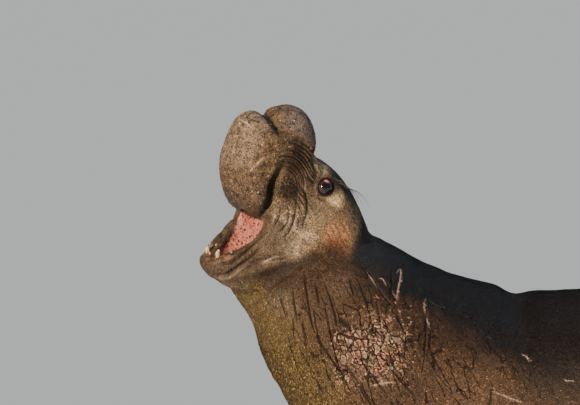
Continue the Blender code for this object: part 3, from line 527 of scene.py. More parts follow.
# Long cracks down the neck: start x, z, length, and lean from upright at the start and at the end.
NECK_CRACKS = [
    (0.045, 0.791, 0.160, 2, 17), (0.037, 0.646, 0.074, 5, 10), (0.077, 0.758, 0.059, 9, 9),
    (0.102, 0.702, 0.226, 9, 25), (0.181, 0.506, 0.128, 30, 46), (0.109, 0.753, 0.133, 16, 11),
    (0.182, 0.775, 0.045, 15, 15), (0.206, 0.770, 0.207, 24, -2), (0.235, 0.798, 0.286, 37, 26),
    (0.261, 0.726, 0.225, 10, 23), (0.205, 0.663, 0.175, 28, 22), (0.256, 0.585, 0.177, 33, 46),
    (0.170, 0.603, 0.190, 33, 39), (0.289, 0.608, 0.055, 51, 14), (0.100, 0.571, 0.098, 32, 35),
    (0.106, 0.507, 0.065, 21, 21), (0.074, 0.475, 0.060, 28, 28), (0.379, 0.655, 0.060, -11, -11),
    (0.413, 0.715, 0.186, 2, -7), (0.431, 0.649, 0.088, -10, -10), (0.285, 0.781, 0.088, 32, 32),
    (0.312, 0.795, 0.080, -5, -5), (0.190, 0.489, 0.100, 27, 42), (-0.033, 0.717, 0.066, 13, 13),
    (-0.013, 0.609, 0.116, 13, 18), (0.034, 0.651, 0.086, 6, 11), (0.008, 0.742, 0.098, 3, 14),
    (0.025, 0.569, 0.075, 21, 37), (0.005, 0.655, 0.061, 3, 3), (0.072, 0.474, 0.053, 34, 34)]


def crack_line(side, x, z, length, lean, last_lean, wander=4.0):
    """A crack down the flank that turns steadily from one lean to the other and wavers a little."""
    steps = max(3, round(length / 0.02))
    points = [body_side(side, x, z)]
    for n in range(steps):
        way = math.radians(lean + (last_lean - lean) * n / steps + draw.uniform(-wander, wander))
        x += math.sin(way) * length / steps
        z -= math.cos(way) * length / steps
        points.append(body_side(side, x, z))
    return laid(bare_tree, points)


draw = random.Random(11)
for side in (1, -1):
    for x, z, length, lean, last_lean in NECK_CRACKS:
        lines.append(("crack", crack_line(side, x, z, length * 1.12, lean, last_lean), 0.0050, 0.0028))
    for _ in range(24):
        x, drop = draw.uniform(0.0, 0.50), draw.uniform(0.10, 0.52)
        z = 0.86 - 0.2 * x - drop
        lean = 8 + 70 * (0.84 - z) + 20 * x
        lines.append(("crack", crack_line(side, x, z, draw.uniform(0.03, 0.11), lean, lean + draw.uniform(-12, 12), 9),
                      draw.uniform(0.0015, 0.0030), 0.0018))
    for _ in range(26):
        x, z = draw.gauss(0.25, 0.075), draw.gauss(0.575, 0.085)
        lines.append(("crack", crack_line(side, x, z, draw.uniform(0.02, 0.045), draw.uniform(-80, -45),
                                          draw.uniform(-95, -50), 12), 0.0020, 0.0018))
    # old fighting scars on neck and flank: x and z along each
    for points in ([(0.325, 0.785), (0.341, 0.797), (0.335, 0.760), (0.328, 0.735), (0.323, 0.703)],
                   [(0.235, 0.794), (0.252, 0.770), (0.268, 0.746)], [(0.272, 0.774), (0.284, 0.772), (0.293, 0.754)],
                   [(0.299, 0.757), (0.311, 0.738), (0.323, 0.720)], [(0.415, 0.717), (0.408, 0.690), (0.425, 0.627)],
                   [(0.609, 0.454), (0.654, 0.437), (0.699, 0.420)], [(0.823, 0.490), (0.838, 0.486), (0.853, 0.488)],
                   [(0.242, 0.460), (0.284, 0.471), (0.318, 0.475)], [(0.266, 0.500), (0.276, 0.480), (0.281, 0.462)],
                   [(0.700, 0.560), (0.716, 0.552), (0.722, 0.540)], [(0.960, 0.430), (1.010, 0.455), (1.050, 0.450)],
                   [(1.220, 0.300), (1.300, 0.330), (1.350, 0.320)], [(1.600, 0.420), (1.660, 0.430), (1.700, 0.410)]):
        lines.append(("scar", laid(bare_tree, [body_side(side, x, z) for x, z in points]), -0.0014, 0.0018))
for points in ([(0.464, -0.020, 0.092), (0.464, 0.013, 0.091), (0.459, 0.045, 0.089), (0.452, 0.064, 0.087)],
               [(0.464, -0.020, 0.092), (0.465, 0.013, 0.075), (0.464, 0.023, 0.067)],
               [(0.462, -0.050, 0.100), (0.459, -0.029, 0.108), (0.455, -0.015, 0.121)],
               [(0.396, 0.108, -0.038), (0.392, 0.115, -0.004), (0.387, 0.120, 0.030)],
               [(0.245, 0.133, -0.115), (0.249, 0.127, -0.089)], [(0.193, 0.124, -0.236), (0.171, 0.138, -0.192)]):
    lines.append(("scar", laid(bare_tree, [head_point(*p) for p in points]), -0.0014, 0.0024))

EYE = (0.157, 0.109, 0.064)
EYE_RADIUS = 0.030
EYE_OPENING = math.radians(56)
EAR = (0.022, 0.176, -0.030)
NOSTRIL = (0.302, 0.032, -0.134)


def eye_axes(side):
    """Frame of an eye's opening: along it, up it, and out of the head."""
    outward = head_vector(0.20, side * 0.93, 0.26).normalized()
    along = (FORWARD - outward * FORWARD.dot(outward)).normalized()
    return along, along.cross(outward).normalized() * side, outward


def within(places, point, reach):
    return ((places - np.array(point)) ** 2).sum(1) < reach * reach


def woven_finer(obj, choose):
    """Splits the faces whose corners are all chosen into four, with no loose edge."""
    chosen = choose(places_of(obj))
    bm = bmesh.new()
    bm.from_mesh(obj.data)
    edges = [edge for edge in bm.edges if chosen[edge.verts[0].index] and chosen[edge.verts[1].index]]
    bmesh.ops.subdivide_edges(bm, edges=edges, cuts=1, use_grid_fill=True)
    bm.to_mesh(obj.data)
    bm.free()
    spots = places_of(obj)
    ends = np.empty(len(obj.data.edges) * 2, np.int64)
    obj.data.edges.foreach_get("vertices", ends)
    ends = ends.reshape(-1, 2)
    inside = choose(spots) & (spots[:, 2] > 0.001)
    count = np.bincount(ends.ravel(), minlength=len(spots))[:, None]
    for _ in range(3):
        total = np.zeros_like(spots)
        for axis in range(3):
            total[:, axis] = (np.bincount(ends[:, 0], spots[ends[:, 1], axis], len(spots))
                              + np.bincount(ends[:, 1], spots[ends[:, 0], axis], len(spots)))
        spots[inside] += 0.5 * (total[inside] / count[inside] - spots[inside])
    moved(obj, spots)


def near_lines(places, reach):
    slabs = Slabs(places)
    out = np.zeros(len(places), bool)
    for _, line, _, _ in lines:
        near, gap, _ = along_line(places, slabs, line, reach / 3)
        out[near[gap < reach]] = True
    return out


def fine_face(places):
    out = within(places, jaw_point(0.345, 0, 0.0), 0.125) | within(places, jaw_point(0.24, 0, 0.04), 0.10)
    for side in (1, -1):
        out |= within(places, head_point(0.235, side * 0.12, 0.020), 0.120)
        out |= within(places, head_point(0.16, side * 0.12, 0.065), 0.075)
        out |= within(places, head_point(*(EAR[0], side * EAR[1], EAR[2])), 0.04)
        out |= within(places, head_point(NOSTRIL[0], side * NOSTRIL[1], NOSTRIL[2]), 0.045)
    return out


woven_finer(skin, lambda p: within(p, head_point(0.19, 0, -0.06), 0.37) | near_lines(p, 0.014))
woven_finer(skin, lambda p: fine_face(p) | near_lines(p, 0.0065))
woven_finer(skin, lambda p: within(p, head_point(EYE[0], EYE[1], EYE[2]), 0.055)
            | within(p, head_point(EYE[0], -EYE[1], EYE[2]), 0.055))

spots, out = places_of(skin), normals_of(skin)
slabs = Slabs(spots)
# how far each point lies in a crack, a fold or a scar: cracks and folds are later darkened with painted shade, and
# scars are made pale
crack_depth = np.zeros(len(spots))
fold_depth = np.zeros(len(spots))
scar_depth = np.zeros(len(spots))
for kind, line, depth, width in lines:
    near, fall = pressed(spots, slabs, out, line, depth, width)
    kept = {"crack": crack_depth, "scar": scar_depth, "ridge": scar_depth}.get(kind, fold_depth)
    strength = {"ridge": 0.22, "stain": 1.0, "scar": 0.75}.get(kind, min(1.0, abs(depth) / 0.004))
    kept[near] = np.maximum(kept[near], fall * strength)
moved(skin, spots)

# where each point lies in the head's frame and in the jaw's
HEAD_FRAME = np.array([FORWARD, LEFT, UP])


def in_head(places):
    return (places - np.array(HEAD_PIVOT)) @ HEAD_FRAME.T


def in_jaw(places):
    f, a, u = in_head(places).T
    c, s = math.cos(JAW_DROP), math.sin(JAW_DROP)
    return np.stack([f * c - u * s, a, f * s + u * c], axis=1)


def cobbles(places, size):
    """Distance to the nearest edge between cells of this size, and a draw for each cell."""
    spots = places / size
    low = np.floor(spots).astype(np.int64)
    near = np.full((2, len(places)), 9.0)
    shade = np.zeros(len(places))
    for step in np.ndindex(3, 3, 3):
        cell = low + np.array(step) - 1
        code = (cell[:, 0] * 73856093) ^ (cell[:, 1] * 19349663) ^ (cell[:, 2] * 83492791)
        code = (code ^ (code >> 13)) * 1274126177
        jitter = np.stack([((code >> bits) & 0x3FF) / 1023 for bits in (2, 12, 22)], 1)
        gap = np.linalg.norm(spots - cell - jitter, axis=1)
        closer = gap < near[0]
        near[1] = np.where(closer, near[0], np.minimum(near[1], gap))
        shade = np.where(closer, jitter[:, 0], shade)
        near[0] = np.where(closer, gap, near[0])
    return (near[1] - near[0]) * size, shade


TRUNK_ROWS = smooth_rows(TRUNK, 4)


def in_trunk(places):
    """Station, turn round the trunk from the back to the belly, and the way towards the tail."""
    tx, tz, bx, bz, half = TRUNK_ROWS.T
    behind = ((bx - tx)[None] * (places[:, 2:3] - tz[None]) - (bz - tz)[None] * (places[:, 0:1] - tx[None]))
    behind /= np.hypot(bx - tx, bz - tz)[None]
    index = np.clip((behind > 0).sum(1) - 1, 0, len(tx) - 2)
    rows = np.arange(len(places))
    low, high = behind[rows, index], behind[rows, index + 1]
    share = np.clip(low / np.where(np.abs(low - high) < 1e-9, 1, low - high), 0, 1)
    row = TRUNK_ROWS[index] + (TRUNK_ROWS[index + 1] - TRUNK_ROWS[index]) * share[:, None]
    middle = np.stack([(row[:, 0] + row[:, 2]) / 2, (row[:, 1] + row[:, 3]) / 2], 1)
    depth = row[:, :2] - middle
    up = ((places[:, [0, 2]] - middle) * depth).sum(1) / (depth ** 2).sum(1)
    aside = places[:, 1] / row[:, 4]
    step = TRUNK_ROWS[index + 1] - TRUNK_ROWS[index]
    way = np.stack([(step[:, 0] * (1 + up) + step[:, 2] * (1 - up)) / 2, step[:, 4] * aside,
                    (step[:, 1] * (1 + up) + step[:, 3] * (1 - up)) / 2], 1)
    return index + share, np.arctan2(aside, up), way / np.linalg.norm(way, axis=1)[:, None]


head_share = smoothstep(0.44, 0.34, np.linalg.norm(spots - np.array(head_point(0.17, 0, -0.06)), axis=1))
station, turn, tailward = in_trunk(spots)
side_share = smoothstep(0.35, 0.9, np.abs(turn)) * (1 - head_share)
neck_share = smoothstep(2, 10, station) * smoothstep(36, 22, station) * side_share
f, a, u = in_head(spots).T
heave = 0.0030 * rumple(spots, 0.11, 3) + 0.0018 * rumple(spots, 0.045, 4)
heave = heave * (1 - head_share) * (spots[:, 2] > 0.03)
heave += neck_share * 0.0022 * rumple(spots * np.array((1.6, 1, 0.7)), 0.028, 5)
heave += head_share * (0.0012 * rumple(spots, 0.030, 6) + 0.0006 * rumple(spots, 0.012, 7))
jowl = head_share * smoothstep(0.26, 0.20, f) * smoothstep(0.02, -0.08, u)
heave += jowl * 0.0016 * rumple(spots, 0.016, 8)
for side in (1, -1):
    # the whisker pad is puckered in rows of small knobs round a hollow; painted shade darkens the gaps between the
    # knobs and the hollow
    reach = np.hypot(f - 0.272, u + 0.006)
    pad_share = smoothstep(0.042, 0.026, reach) * (a * side > 0.08)
    gaps, _ = cobbles(spots * np.array((1.0, 1.0, 0.8)), 0.0095)
    heave += pad_share * (0.0030 * smoothstep(0.0, 0.003, gaps) - 0.0015 + 0.0010 * rumple(spots, 0.007, 10))
    heave -= pad_share * 0.006 * smoothstep(0.013, 0.004, np.hypot(f - 0.280, u + 0.014))
    fold_depth = np.maximum(fold_depth, pad_share * smoothstep(0.0022, 0.0006, gaps) * 0.9)
    fold_depth = np.maximum(fold_depth, pad_share * smoothstep(0.015, 0.007, np.hypot(f - 0.280, u + 0.014)) * 0.9)
COAT_DEPTH = 0.0025
flat = spots[:, 2] < 0.004
heave[flat] = 0
spots += out * (heave - np.where(flat, 0, COAT_DEPTH))[:, None]
spots[:, 2] = np.maximum(spots[:, 2], 0)

# Eye sockets with their fat lids, ear pits and nostrils
# The skin round each eye is drawn over the ball: inside the opening it dips behind the ball, and a
# rounded lid stands proud of it. The ears are bare pits with a low lip, and the nostrils are slits.

lid_share = np.zeros(len(spots))
for side in (1, -1):
    along, across, outward = (np.array(v) for v in eye_axes(side))
    middle = np.array(head_point(EYE[0], side * EYE[1], EYE[2]))
    reach = spots - middle
    distance = np.linalg.norm(reach, axis=1)
    near = np.where(distance < 0.065)[0]
    ways = reach[near] / distance[near][:, None]
    # the opening is longer from the upper front corner to the lower back one
    x, y = ways @ along, ways @ across
    slant = math.radians(108)
    long_way, short_way = x * math.cos(slant) + y * math.sin(slant), -x * math.sin(slant) + y * math.cos(slant)
    swing = np.arctan2(np.hypot(long_way / 1.02, short_way / 0.74), ways @ outward)
    past = (swing - EYE_OPENING) / math.radians(10)
    lid = 0.0335 + 0.0016 * np.sin(np.clip(past, 0, 1.6) / 1.6 * math.pi) - 0.0010 * np.clip(past - 1.6, 0, 3)
    profile = np.where(past < 0, 0.0265, lid)
    pull = smoothstep(3.6, 0.9, past)
    distance_now = distance[near] * (1 - pull) + profile * pull
    spots[near] = middle + ways * distance_now[:, None]
    lid_share[near] = np.maximum(lid_share[near], smoothstep(1.6, 0.1, past))
    for (place, radii, depth, rim) in (((EAR[0], side * EAR[1], EAR[2]), (0.004, 0.0030), 0.010, 0.002),
                                       ((NOSTRIL[0], side * NOSTRIL[1], NOSTRIL[2]), (0.019, 0.007), 0.020, 0.003)):
        offset = in_head(spots) - np.array(place)
        if place[0] < 0.1:
            far, other, deep = offset[:, 0], offset[:, 2], offset[:, 1]
        else:
            lean = math.radians(28) * side
            far = offset[:, 1] * math.cos(lean) + offset[:, 0] * math.sin(lean)
            other = offset[:, 0] * math.cos(lean) - offset[:, 1] * math.sin(lean)
            deep = offset[:, 2]
        ring = np.hypot(far / radii[0], other / radii[1])
        here = np.abs(deep) < 0.035
        spots -= out * (here * depth * smoothstep(1.15, 0.5, ring))[:, None]
        spots += out * (here * rim * np.exp(-((ring - 1.5) / 0.35) ** 2))[:, None]
        # painted shade inside the ear pits and nostrils
        fold_depth = np.maximum(fold_depth, here * smoothstep(1.2, 0.8, ring))
moved(skin, spots)

# The markings
# Olive-brown and grey hair that is paler on the cheek, golden on the throat, tan round the eye and ear,
# and almost black on the wet nape and crown: dark wet hair with painted shade over it. Painted shade also
# darkens the hollow behind the shoulder, the neck under the jaw and the inside of the mouth. The mouth is
# lined with wet pink skin. Skin and coat carry the same colours, worked out here for any place on the body.


def hollows(places):
    """How far a place is inside the mouth, and how far it is lined with pink skin, from 0 to 1."""
    inside = np.zeros(len(places))
    for rows, frame_places in ((THROAT, in_head(places)), (PALATE, in_head(places)), (JAW_FLOOR, in_jaw(places))):
        dense = smooth_rows(rows, 6)
        top, bottom, half = (np.interp(frame_places[:, 0], dense[:, 0], dense[:, n]) for n in (1, 2, 3))
        ends = (frame_places[:, 0] > dense[0, 0] - 0.05) & (frame_places[:, 0] < dense[-1, 0] + 0.020)
        high = (frame_places[:, 2] - (top + bottom) / 2) / (top - bottom) * 2
        size = np.abs(frame_places[:, 1] / half) ** 2.2 + np.abs(high) ** 2.2
        inside = np.maximum(inside, ends * smoothstep(1.45, 1.15, size))
    f, _, u = in_head(places).T
    rim = np.interp(u, (-0.300, -0.244, -0.226, -0.198, -0.157, -0.126, -0.050),
                    (0.262, 0.241, 0.231, 0.232, 0.240, 0.257, 0.270))
    return inside, inside * smoothstep(0.007, -0.004, f - rim + 0.005 * rumple(places, 0.012, 23))


def blend(base, colour, share):
    return base + (np.array(colour) - base) * np.clip(share, 0, 1)[:, None]


def soft_spot(places, point, reach, fade):
    return smoothstep(reach + fade, reach, np.linalg.norm(places - np.array(point), axis=1))


# Spots on the sides of the face: forward, up, core, fade, colour, strength. The last two, dark and low, are painted
# shade along the edge of the jaw.
FACE_SPOTS = [
    (0.170, -0.112, 0.048, 0.055, (0.920, 0.690, 0.450), 1.00), (0.205, -0.200, 0.016, 0.050, (0.740, 0.500, 0.280), 0.95),
    (0.150, -0.027, 0.030, 0.045, (0.290, 0.205, 0.118), 0.85), (0.230, -0.085, 0.015, 0.040, (0.230, 0.165, 0.120), 0.75),
    (0.120, 0.068, 0.024, 0.026, (0.740, 0.520, 0.290), 1.00), (0.199, 0.126, 0.018, 0.030, (0.500, 0.380, 0.220), 0.90),
    (0.272, -0.006, 0.026, 0.030, (0.150, 0.102, 0.056), 0.90), (0.262, 0.060, 0.030, 0.040, (0.125, 0.074, 0.038), 0.75),
    (0.051, -0.034, 0.026, 0.040, (0.430, 0.215, 0.100), 0.90), (0.035, -0.073, 0.018, 0.040, (0.170, 0.070, 0.034), 0.80),
    (0.088, -0.125, 0.020, 0.045, (0.190, 0.110, 0.055), 0.80), (0.118, -0.205, 0.012, 0.036, (0.062, 0.036, 0.020), 0.90),
    (0.160, -0.268, 0.010, 0.030, (0.062, 0.036, 0.020), 0.80)]


# Spots on the sides of the neck and chest: x, height, core, fade, colour, strength. The first two, dark ones just under
# the jaw, are painted shade.
NECK_SPOTS = [
    (-0.036, 0.764, 0.020, 0.060, (0.046, 0.026, 0.014), 0.90), (0.060, 0.800, 0.030, 0.060, (0.062, 0.034, 0.019), 0.85),
    (0.180, 0.830, 0.020, 0.080, (0.080, 0.045, 0.027), 0.80), (0.155, 0.760, 0.010, 0.045, (0.150, 0.096, 0.064), 0.60),
    (-0.020, 0.690, 0.020, 0.050, (0.150, 0.110, 0.070), 0.55), (0.243, 0.572, 0.070, 0.070, (0.170, 0.108, 0.066), 0.70),
    (0.420, 0.700, 0.030, 0.090, (0.060, 0.032, 0.020), 0.80), (0.560, 0.440, 0.050, 0.160, (0.125, 0.070, 0.038), 0.80)]


def hide_colour(places):
    """Colour of the hide and its hair, and how wet it is."""
    station, turn, _ = in_trunk(places)
    turn = np.abs(turn)
    f, a, u = in_head(places).T
    jaw_f, jaw_a, jaw_u = in_jaw(places).T
    blotch = rumple(places, 0.16, 21)
    patch = rumple(places, 0.05, 22)
    colour = np.tile(np.array((0.092, 0.050, 0.026)), (len(places), 1))
    colour = blend(colour, (0.046, 0.024, 0.013), smoothstep(-0.1, 0.8, blotch) * 0.75)
    colour = blend(colour, (0.150, 0.098, 0.055), smoothstep(1.9, 2.6, turn) * 0.6)
    neck = smoothstep(34, 20, station)
    colour = blend(colour, (0.088, 0.047, 0.024), neck * 0.92)
    colour = blend(colour, (0.050, 0.025, 0.013), neck * smoothstep(0.1, 0.7, blotch + 0.5 * patch) * 0.7)
    colour = blend(colour, (0.142, 0.094, 0.036), neck * smoothstep(1.75, 2.25, turn + 0.1 * patch))
    # the nape and the top of the back: wet, near-black hair, darkened further with painted shade
    nape = smoothstep(1.36, 0.84, turn + 0.16 * patch + 0.12 * blotch) * smoothstep(50, 30, station)
    nape = np.maximum(nape, 0.85 * smoothstep(1.0, 0.35, turn + 0.2 * patch) * smoothstep(70, 40, station))
    colour = blend(colour, (0.008, 0.006, 0.006), nape * 0.97)
    # painted shade in the hollow behind the shoulder mass, over hair that is also marked wet
    shoulder = np.exp(-((places[:, 0] - 0.80) / 0.16) ** 2) * smoothstep(0.34, 0.58, places[:, 2] + 0.05 * patch)
    colour = blend(colour, (0.012, 0.008, 0.006), shoulder * 0.88)
    wet = np.maximum(nape, shoulder)

    head = smoothstep(0.46, 0.33, np.linalg.norm(places - np.array(head_point(0.17, 0, -0.06)), axis=1))
    head = head * smoothstep(-0.14, -0.04, f)
    # the neck's colours start behind the edge of the jaw
    jaw_edge = np.interp(u, (-0.287, -0.231, -0.184, -0.143, -0.091), (0.184, 0.148, 0.118, 0.097, 0.078))
    behind_jaw = smoothstep(0.012, -0.014, f - jaw_edge + 0.012 * patch) * smoothstep(-0.055, -0.100, u)
    head = head * (1 - behind_jaw)
    face = np.tile(np.array((0.200, 0.132, 0.078)), (len(places), 1))
    face = blend(face, (0.260, 0.182, 0.112), smoothstep(-0.2, 0.7, patch) * 0.5)
    nose = smoothstep(0.255, 0.315, f + 0.25 * np.maximum(u, 0)) * (jaw_u > 0.05)
    face = blend(face, (0.170, 0.108, 0.058), nose)
    face = blend(face, (0.270, 0.192, 0.128), nose * smoothstep(0.39, 0.44, f + 0.006 * patch))
    face = blend(face, (0.200, 0.150, 0.120), nose * smoothstep(0.13, 0.17, u) * smoothstep(0.40, 0.36, f))
    face = blend(face, (0.130, 0.072, 0.034), nose * smoothstep(0.36, 0.29, f) * smoothstep(0.16, 0.08, u) * 0.85)
    face = blend(face, (0.150, 0.096, 0.058), nose * smoothstep(0.01, -0.12, u + 0.02 * patch) * 0.85)
    for forward, up, core, fade, tone, share in FACE_SPOTS:
        here = smoothstep(core + fade, core, np.hypot(f - forward, u - up) + 0.010 * patch) * (np.abs(a) > 0.06)
        face = blend(face, tone, here * share * (1 + 0.3 * patch))
    # the crown and back of the head: wet, near-black hair, darkened further with painted shade
    crown = smoothstep(0.070, 0.105, u + 0.018 * patch + 0.10 * np.maximum(np.abs(a) - 0.06, 0))
    crown = np.maximum(crown * smoothstep(0.175, 0.12, f), smoothstep(0.020, -0.015, f + 0.01 * patch) * (u > -0.09))
    face = blend(face, (0.012, 0.012, 0.014), crown * 0.95)
    wet = np.maximum(wet, crown * head)
    lip = smoothstep(-0.085, -0.045, jaw_u) * smoothstep(0.12, 0.26, jaw_f) * (u < -0.10)
    face = blend(face, (0.095, 0.060, 0.034), lip * 0.9)
    gum = smoothstep(0.000, 0.024, jaw_u) * smoothstep(0.36, 0.39, jaw_f) * (jaw_u < 0.10)
    face = blend(face, (0.330, 0.170, 0.130), gum * smoothstep(0.0, 0.5, rumple(places, 0.011, 24)) * 0.8)
    under = smoothstep(-0.100, -0.140, jaw_u) * smoothstep(0.10, 0.20, jaw_f)
    face = blend(face, (0.118, 0.078, 0.030), under * 0.8)
    for side in (1, -1):
        face = blend(face, (0.620, 0.420, 0.240), soft_spot(places, jaw_point(0.415, side * 0.045, -0.04), 0.004, 0.014))
    # painted shade over the inside of the mouth, left showing where the pink lining does not cover it
    inside, _ = hollows(places)
    face = blend(face, (0.060, 0.042, 0.024), inside * 0.9)
    colour = colour + (face - colour) * head[:, None]
    flank = smoothstep(0.04, 0.12, np.abs(places[:, 1])) * (1 - nape)
    for x, z, core, fade, tone, share in NECK_SPOTS:
        here = smoothstep(core + fade, core, np.hypot(places[:, 0] - x, places[:, 2] - z) + 0.012 * patch)
        colour = blend(colour, tone, here * share * flank * (1 - head))
    tips = smoothstep(3.30, 3.62, places[:, 0]) + smoothstep(0.62, 0.84, np.abs(places[:, 1])) * (places[:, 2] < 0.16)
    colour = blend(colour, (0.050, 0.036, 0.026), tips * 0.7)
    return colour, np.clip(wet + (0.30 * nose + 0.8 * lip + 0.8 * gum) * head, 0, 1)


def shield(places):
    """The scarred, cobbled shield of skin on each side of the neck."""
    spread_out = np.hypot((places[:, 0] - 0.243) / 0.110, (places[:, 2] - 0.572) / 0.105)
    return smoothstep(1.60, 0.30, spread_out + 0.35 * rumple(places, 0.05, 31)) * (np.abs(places[:, 1]) > 0.15)


def creased(colour, crack, fold, scar, lid):
    """Painted shade in cracks and creases, with pale scars and black lid rims, over the markings."""
    colour = blend(colour, (0.010, 0.007, 0.005), crack * 1.3)
    colour = blend(colour, (0.014, 0.009, 0.006), fold * 0.95)
    colour = blend(colour, (0.820, 0.560, 0.430), scar * 1.1)
    return blend(colour, (0.012, 0.008, 0.006), lid)


def neck_zone(places):
    """Where the hide of neck and chest is cracked."""
    station, turn, _ = in_trunk(places)
    turn = np.abs(turn)
    off_head = smoothstep(0.29, 0.36, np.linalg.norm(places - np.array(head_point(0.17, 0, -0.06)), axis=1))
    return off_head * smoothstep(36, 27, station) * smoothstep(0.55, 0.95, turn) * smoothstep(2.35, 1.9, turn)


def nose_zone(places):
    f, _, u = in_head(places).T
    return smoothstep(0.30, 0.34, f + 0.25 * np.maximum(u, 0)) * (in_jaw(places)[:, 2] > 0.07)


inside, pink = hollows(spots)
colour, wet = hide_colour(spots)
raw = shield(spots)
colour = creased(colour, crack_depth, fold_depth, scar_depth, lid_share)


def coloured(mesh, name, values):
    kept = mesh.attributes.new(name, "FLOAT_COLOR", "POINT")
    kept.data.foreach_set("color", np.hstack([values, np.ones((len(values), 1))]).astype(np.float32).ravel())


def marked(mesh, name, values):
    kept = mesh.attributes.new(name, "FLOAT", "POINT")
    kept.data.foreach_set("value", np.asarray(values, np.float32))


coloured(skin.data, "hue", colour)
marked(skin.data, "lining", pink)
marked(skin.data, "wet", wet)
marked(skin.data, "raw", raw)
marked(skin.data, "neck", neck_zone(spots))
marked(skin.data, "nose", nose_zone(spots))
skin.data.polygons.foreach_set("use_smooth", np.ones(len(skin.data.polygons), bool))

# The hide's finish
# Short stiff hair over thick skin: a fine fleck of light tips and dark gaps over the markings, damp
# enough to catch the light, with cobbled raw skin on the shield and a wet pebbled lining in the mouth.


class Wire:
    """A value in a finish. Sums and products of wires add their own Math nodes."""

    def __init__(self, finish, socket):
        self.finish, self.socket = finish, socket

    def maths(self, operation, first, second):
        return self.finish.node("Math", {"operation": operation}, {0: first, 1: second})

    def __add__(self, other):
        return self.maths("ADD", self, other)

    def __radd__(self, other):
        return self.maths("ADD", other, self)

    def __sub__(self, other):
        return self.maths("SUBTRACT", self, other)

    def __rsub__(self, other):
        return self.maths("SUBTRACT", other, self)

    def __mul__(self, other):
        return self.maths("MULTIPLY", self, other)

    def __rmul__(self, other):
        return self.maths("MULTIPLY", other, self)


class Finish:
    """A material with its Principled shader, and one way to add any other node."""

    def __init__(self, name):
        self.material = bpy.data.materials.new(name)
        self.material.use_nodes = True
        self.tree = self.material.node_tree
        self.shader = self.tree.nodes["Principled BSDF"]

    def node(self, kind, settings=None, values=None, out=0):
        made = self.tree.nodes.new("ShaderNode" + kind)
        for name, value in (settings or {}).items():
            if name == "stops":
                ramp = made.color_ramp
                while len(ramp.elements) < len(value):
                    ramp.elements.new(1.0)
                for stop, (place, shade) in zip(ramp.elements, value):
                    stop.position, stop.color = place, (*shade, 1)
            else:
                setattr(made, name, value)
        for key, value in (values or {}).items():
            self.put(made.inputs[key], value)
        return Wire(self, made.outputs[out])

    def put(self, socket, value):
        if isinstance(value, Wire):
            self.tree.links.new(value.socket, socket)
        elif isinstance(value, tuple) and len(value) == 3 and socket.type == "RGBA":
            socket.default_value = (*value, 1)
        else:
            socket.default_value = value

    def wear(self, **values):
        for name, value in values.items():
            self.put(self.shader.inputs[name.replace("_", " ")], value)

    def place(self, scale=(1, 1, 1)):
        spot = self.node("TexCoord", out="Object")
        return spot if scale == (1, 1, 1) else self.node("Mapping", {}, {"Vector": spot, "Scale": scale})

    def kept(self, name, out="Fac"):
        return self.node("Attribute", {"attribute_name": name}, out=out)

    def noise(self, scale, detail=2.0, roughness=0.5, vector=None):
        return self.node("TexNoise", {}, {"Vector": vector or self.place(), "Scale": scale, "Detail": detail,
                                          "Roughness": roughness})

    def between(self, value, low, high):
        """0 below low, 1 above high, and a smooth rise between."""
        return self.node("MapRange", {"interpolation_type": "SMOOTHSTEP"},
                         {"Value": value, "From Min": low, "From Max": high})

    def mixed(self, share, first, second, way="MIX"):
        return self.node("Mix", {"data_type": "RGBA", "blend_type": way}, {0: share, 6: first, 7: second}, out=2)

    def scaled(self, colour, amount):
        return self.node("VectorMath", {"operation": "SCALE"}, {0: colour, "Scale": amount})

    def bump(self, height, distance, strength=1.0):
        return self.node("Bump", {}, {"Height": height, "Distance": distance, "Strength": strength}, out="Normal")


hide = Finish("hide")
fleck = hide.noise(230, 3, 0.65)
clump = hide.noise(75, 2, 0.55)
raw_mark = hide.kept("raw")
neck_mark = hide.kept("neck")
# short side cracks that lean the way the long ones do, broken into pieces
ragged = hide.node("VectorMath", {"operation": "MULTIPLY_ADD"},
                   {0: hide.node("TexNoise", {}, {"Vector": hide.place(), "Scale": 45.0, "Detail": 2.0}, out="Color"),
                    1: (0.012, 0.012, 0.012), 2: hide.place()})
leaning = hide.node("Mapping", {"vector_type": "TEXTURE"},
                    {"Vector": ragged, "Rotation": (0, math.radians(-24), 0), "Scale": (0.026, 0.050, 0.420)})
crack_edge = hide.node("TexVoronoi", {"feature": "DISTANCE_TO_EDGE"}, {"Vector": leaning, "Scale": 1.0}, out="Distance")
side_crack = hide.between(crack_edge, 0.045, 0.010) * hide.between(hide.noise(20, 1), 0.46, 0.52) * neck_mark
torn_place = hide.node("VectorMath", {"operation": "MULTIPLY_ADD"},
                       {0: hide.node("TexNoise", {}, {"Vector": hide.place(), "Scale": 60.0, "Detail": 3.0,
                                                      "Roughness": 0.65}, out="Color"),
                        1: (0.022, 0.022, 0.022), 2: hide.place()})
# the shield's cobbles: pale torn rims round some of them, bare grey skin on a few, and painted shade in the gaps
# between them
cobbled = hide.node("Mapping", {"vector_type": "TEXTURE"},
                    {"Vector": torn_place, "Rotation": (0, math.radians(-30), 0), "Scale": (0.022, 0.022, 0.032)})
cobble_edge = hide.node("TexVoronoi", {"feature": "DISTANCE_TO_EDGE"}, {"Vector": cobbled, "Scale": 1.0}, out="Distance")
cobble_draw = hide.node("TexVoronoi", {"feature": "F1"}, {"Vector": cobbled, "Scale": 1.0}, out="Color")
rim = hide.between(cobble_edge, 0.05, 0.10) * hide.between(cobble_edge, 0.30, 0.16)
torn = hide.between(hide.noise(70, 3, 0.75) + raw_mark * 0.14, 0.55, 0.64)
patchy = hide.between(hide.noise(22, 2) + raw_mark * 0.12, 0.47, 0.58)
rim = rim * torn * patchy * hide.between(raw_mark, 0.02, 0.16)
bare = hide.between(cobble_draw, 0.60, 0.66) * hide.between(raw_mark, 0.55, 0.9) * hide.between(cobble_edge, 0.06, 0.16)
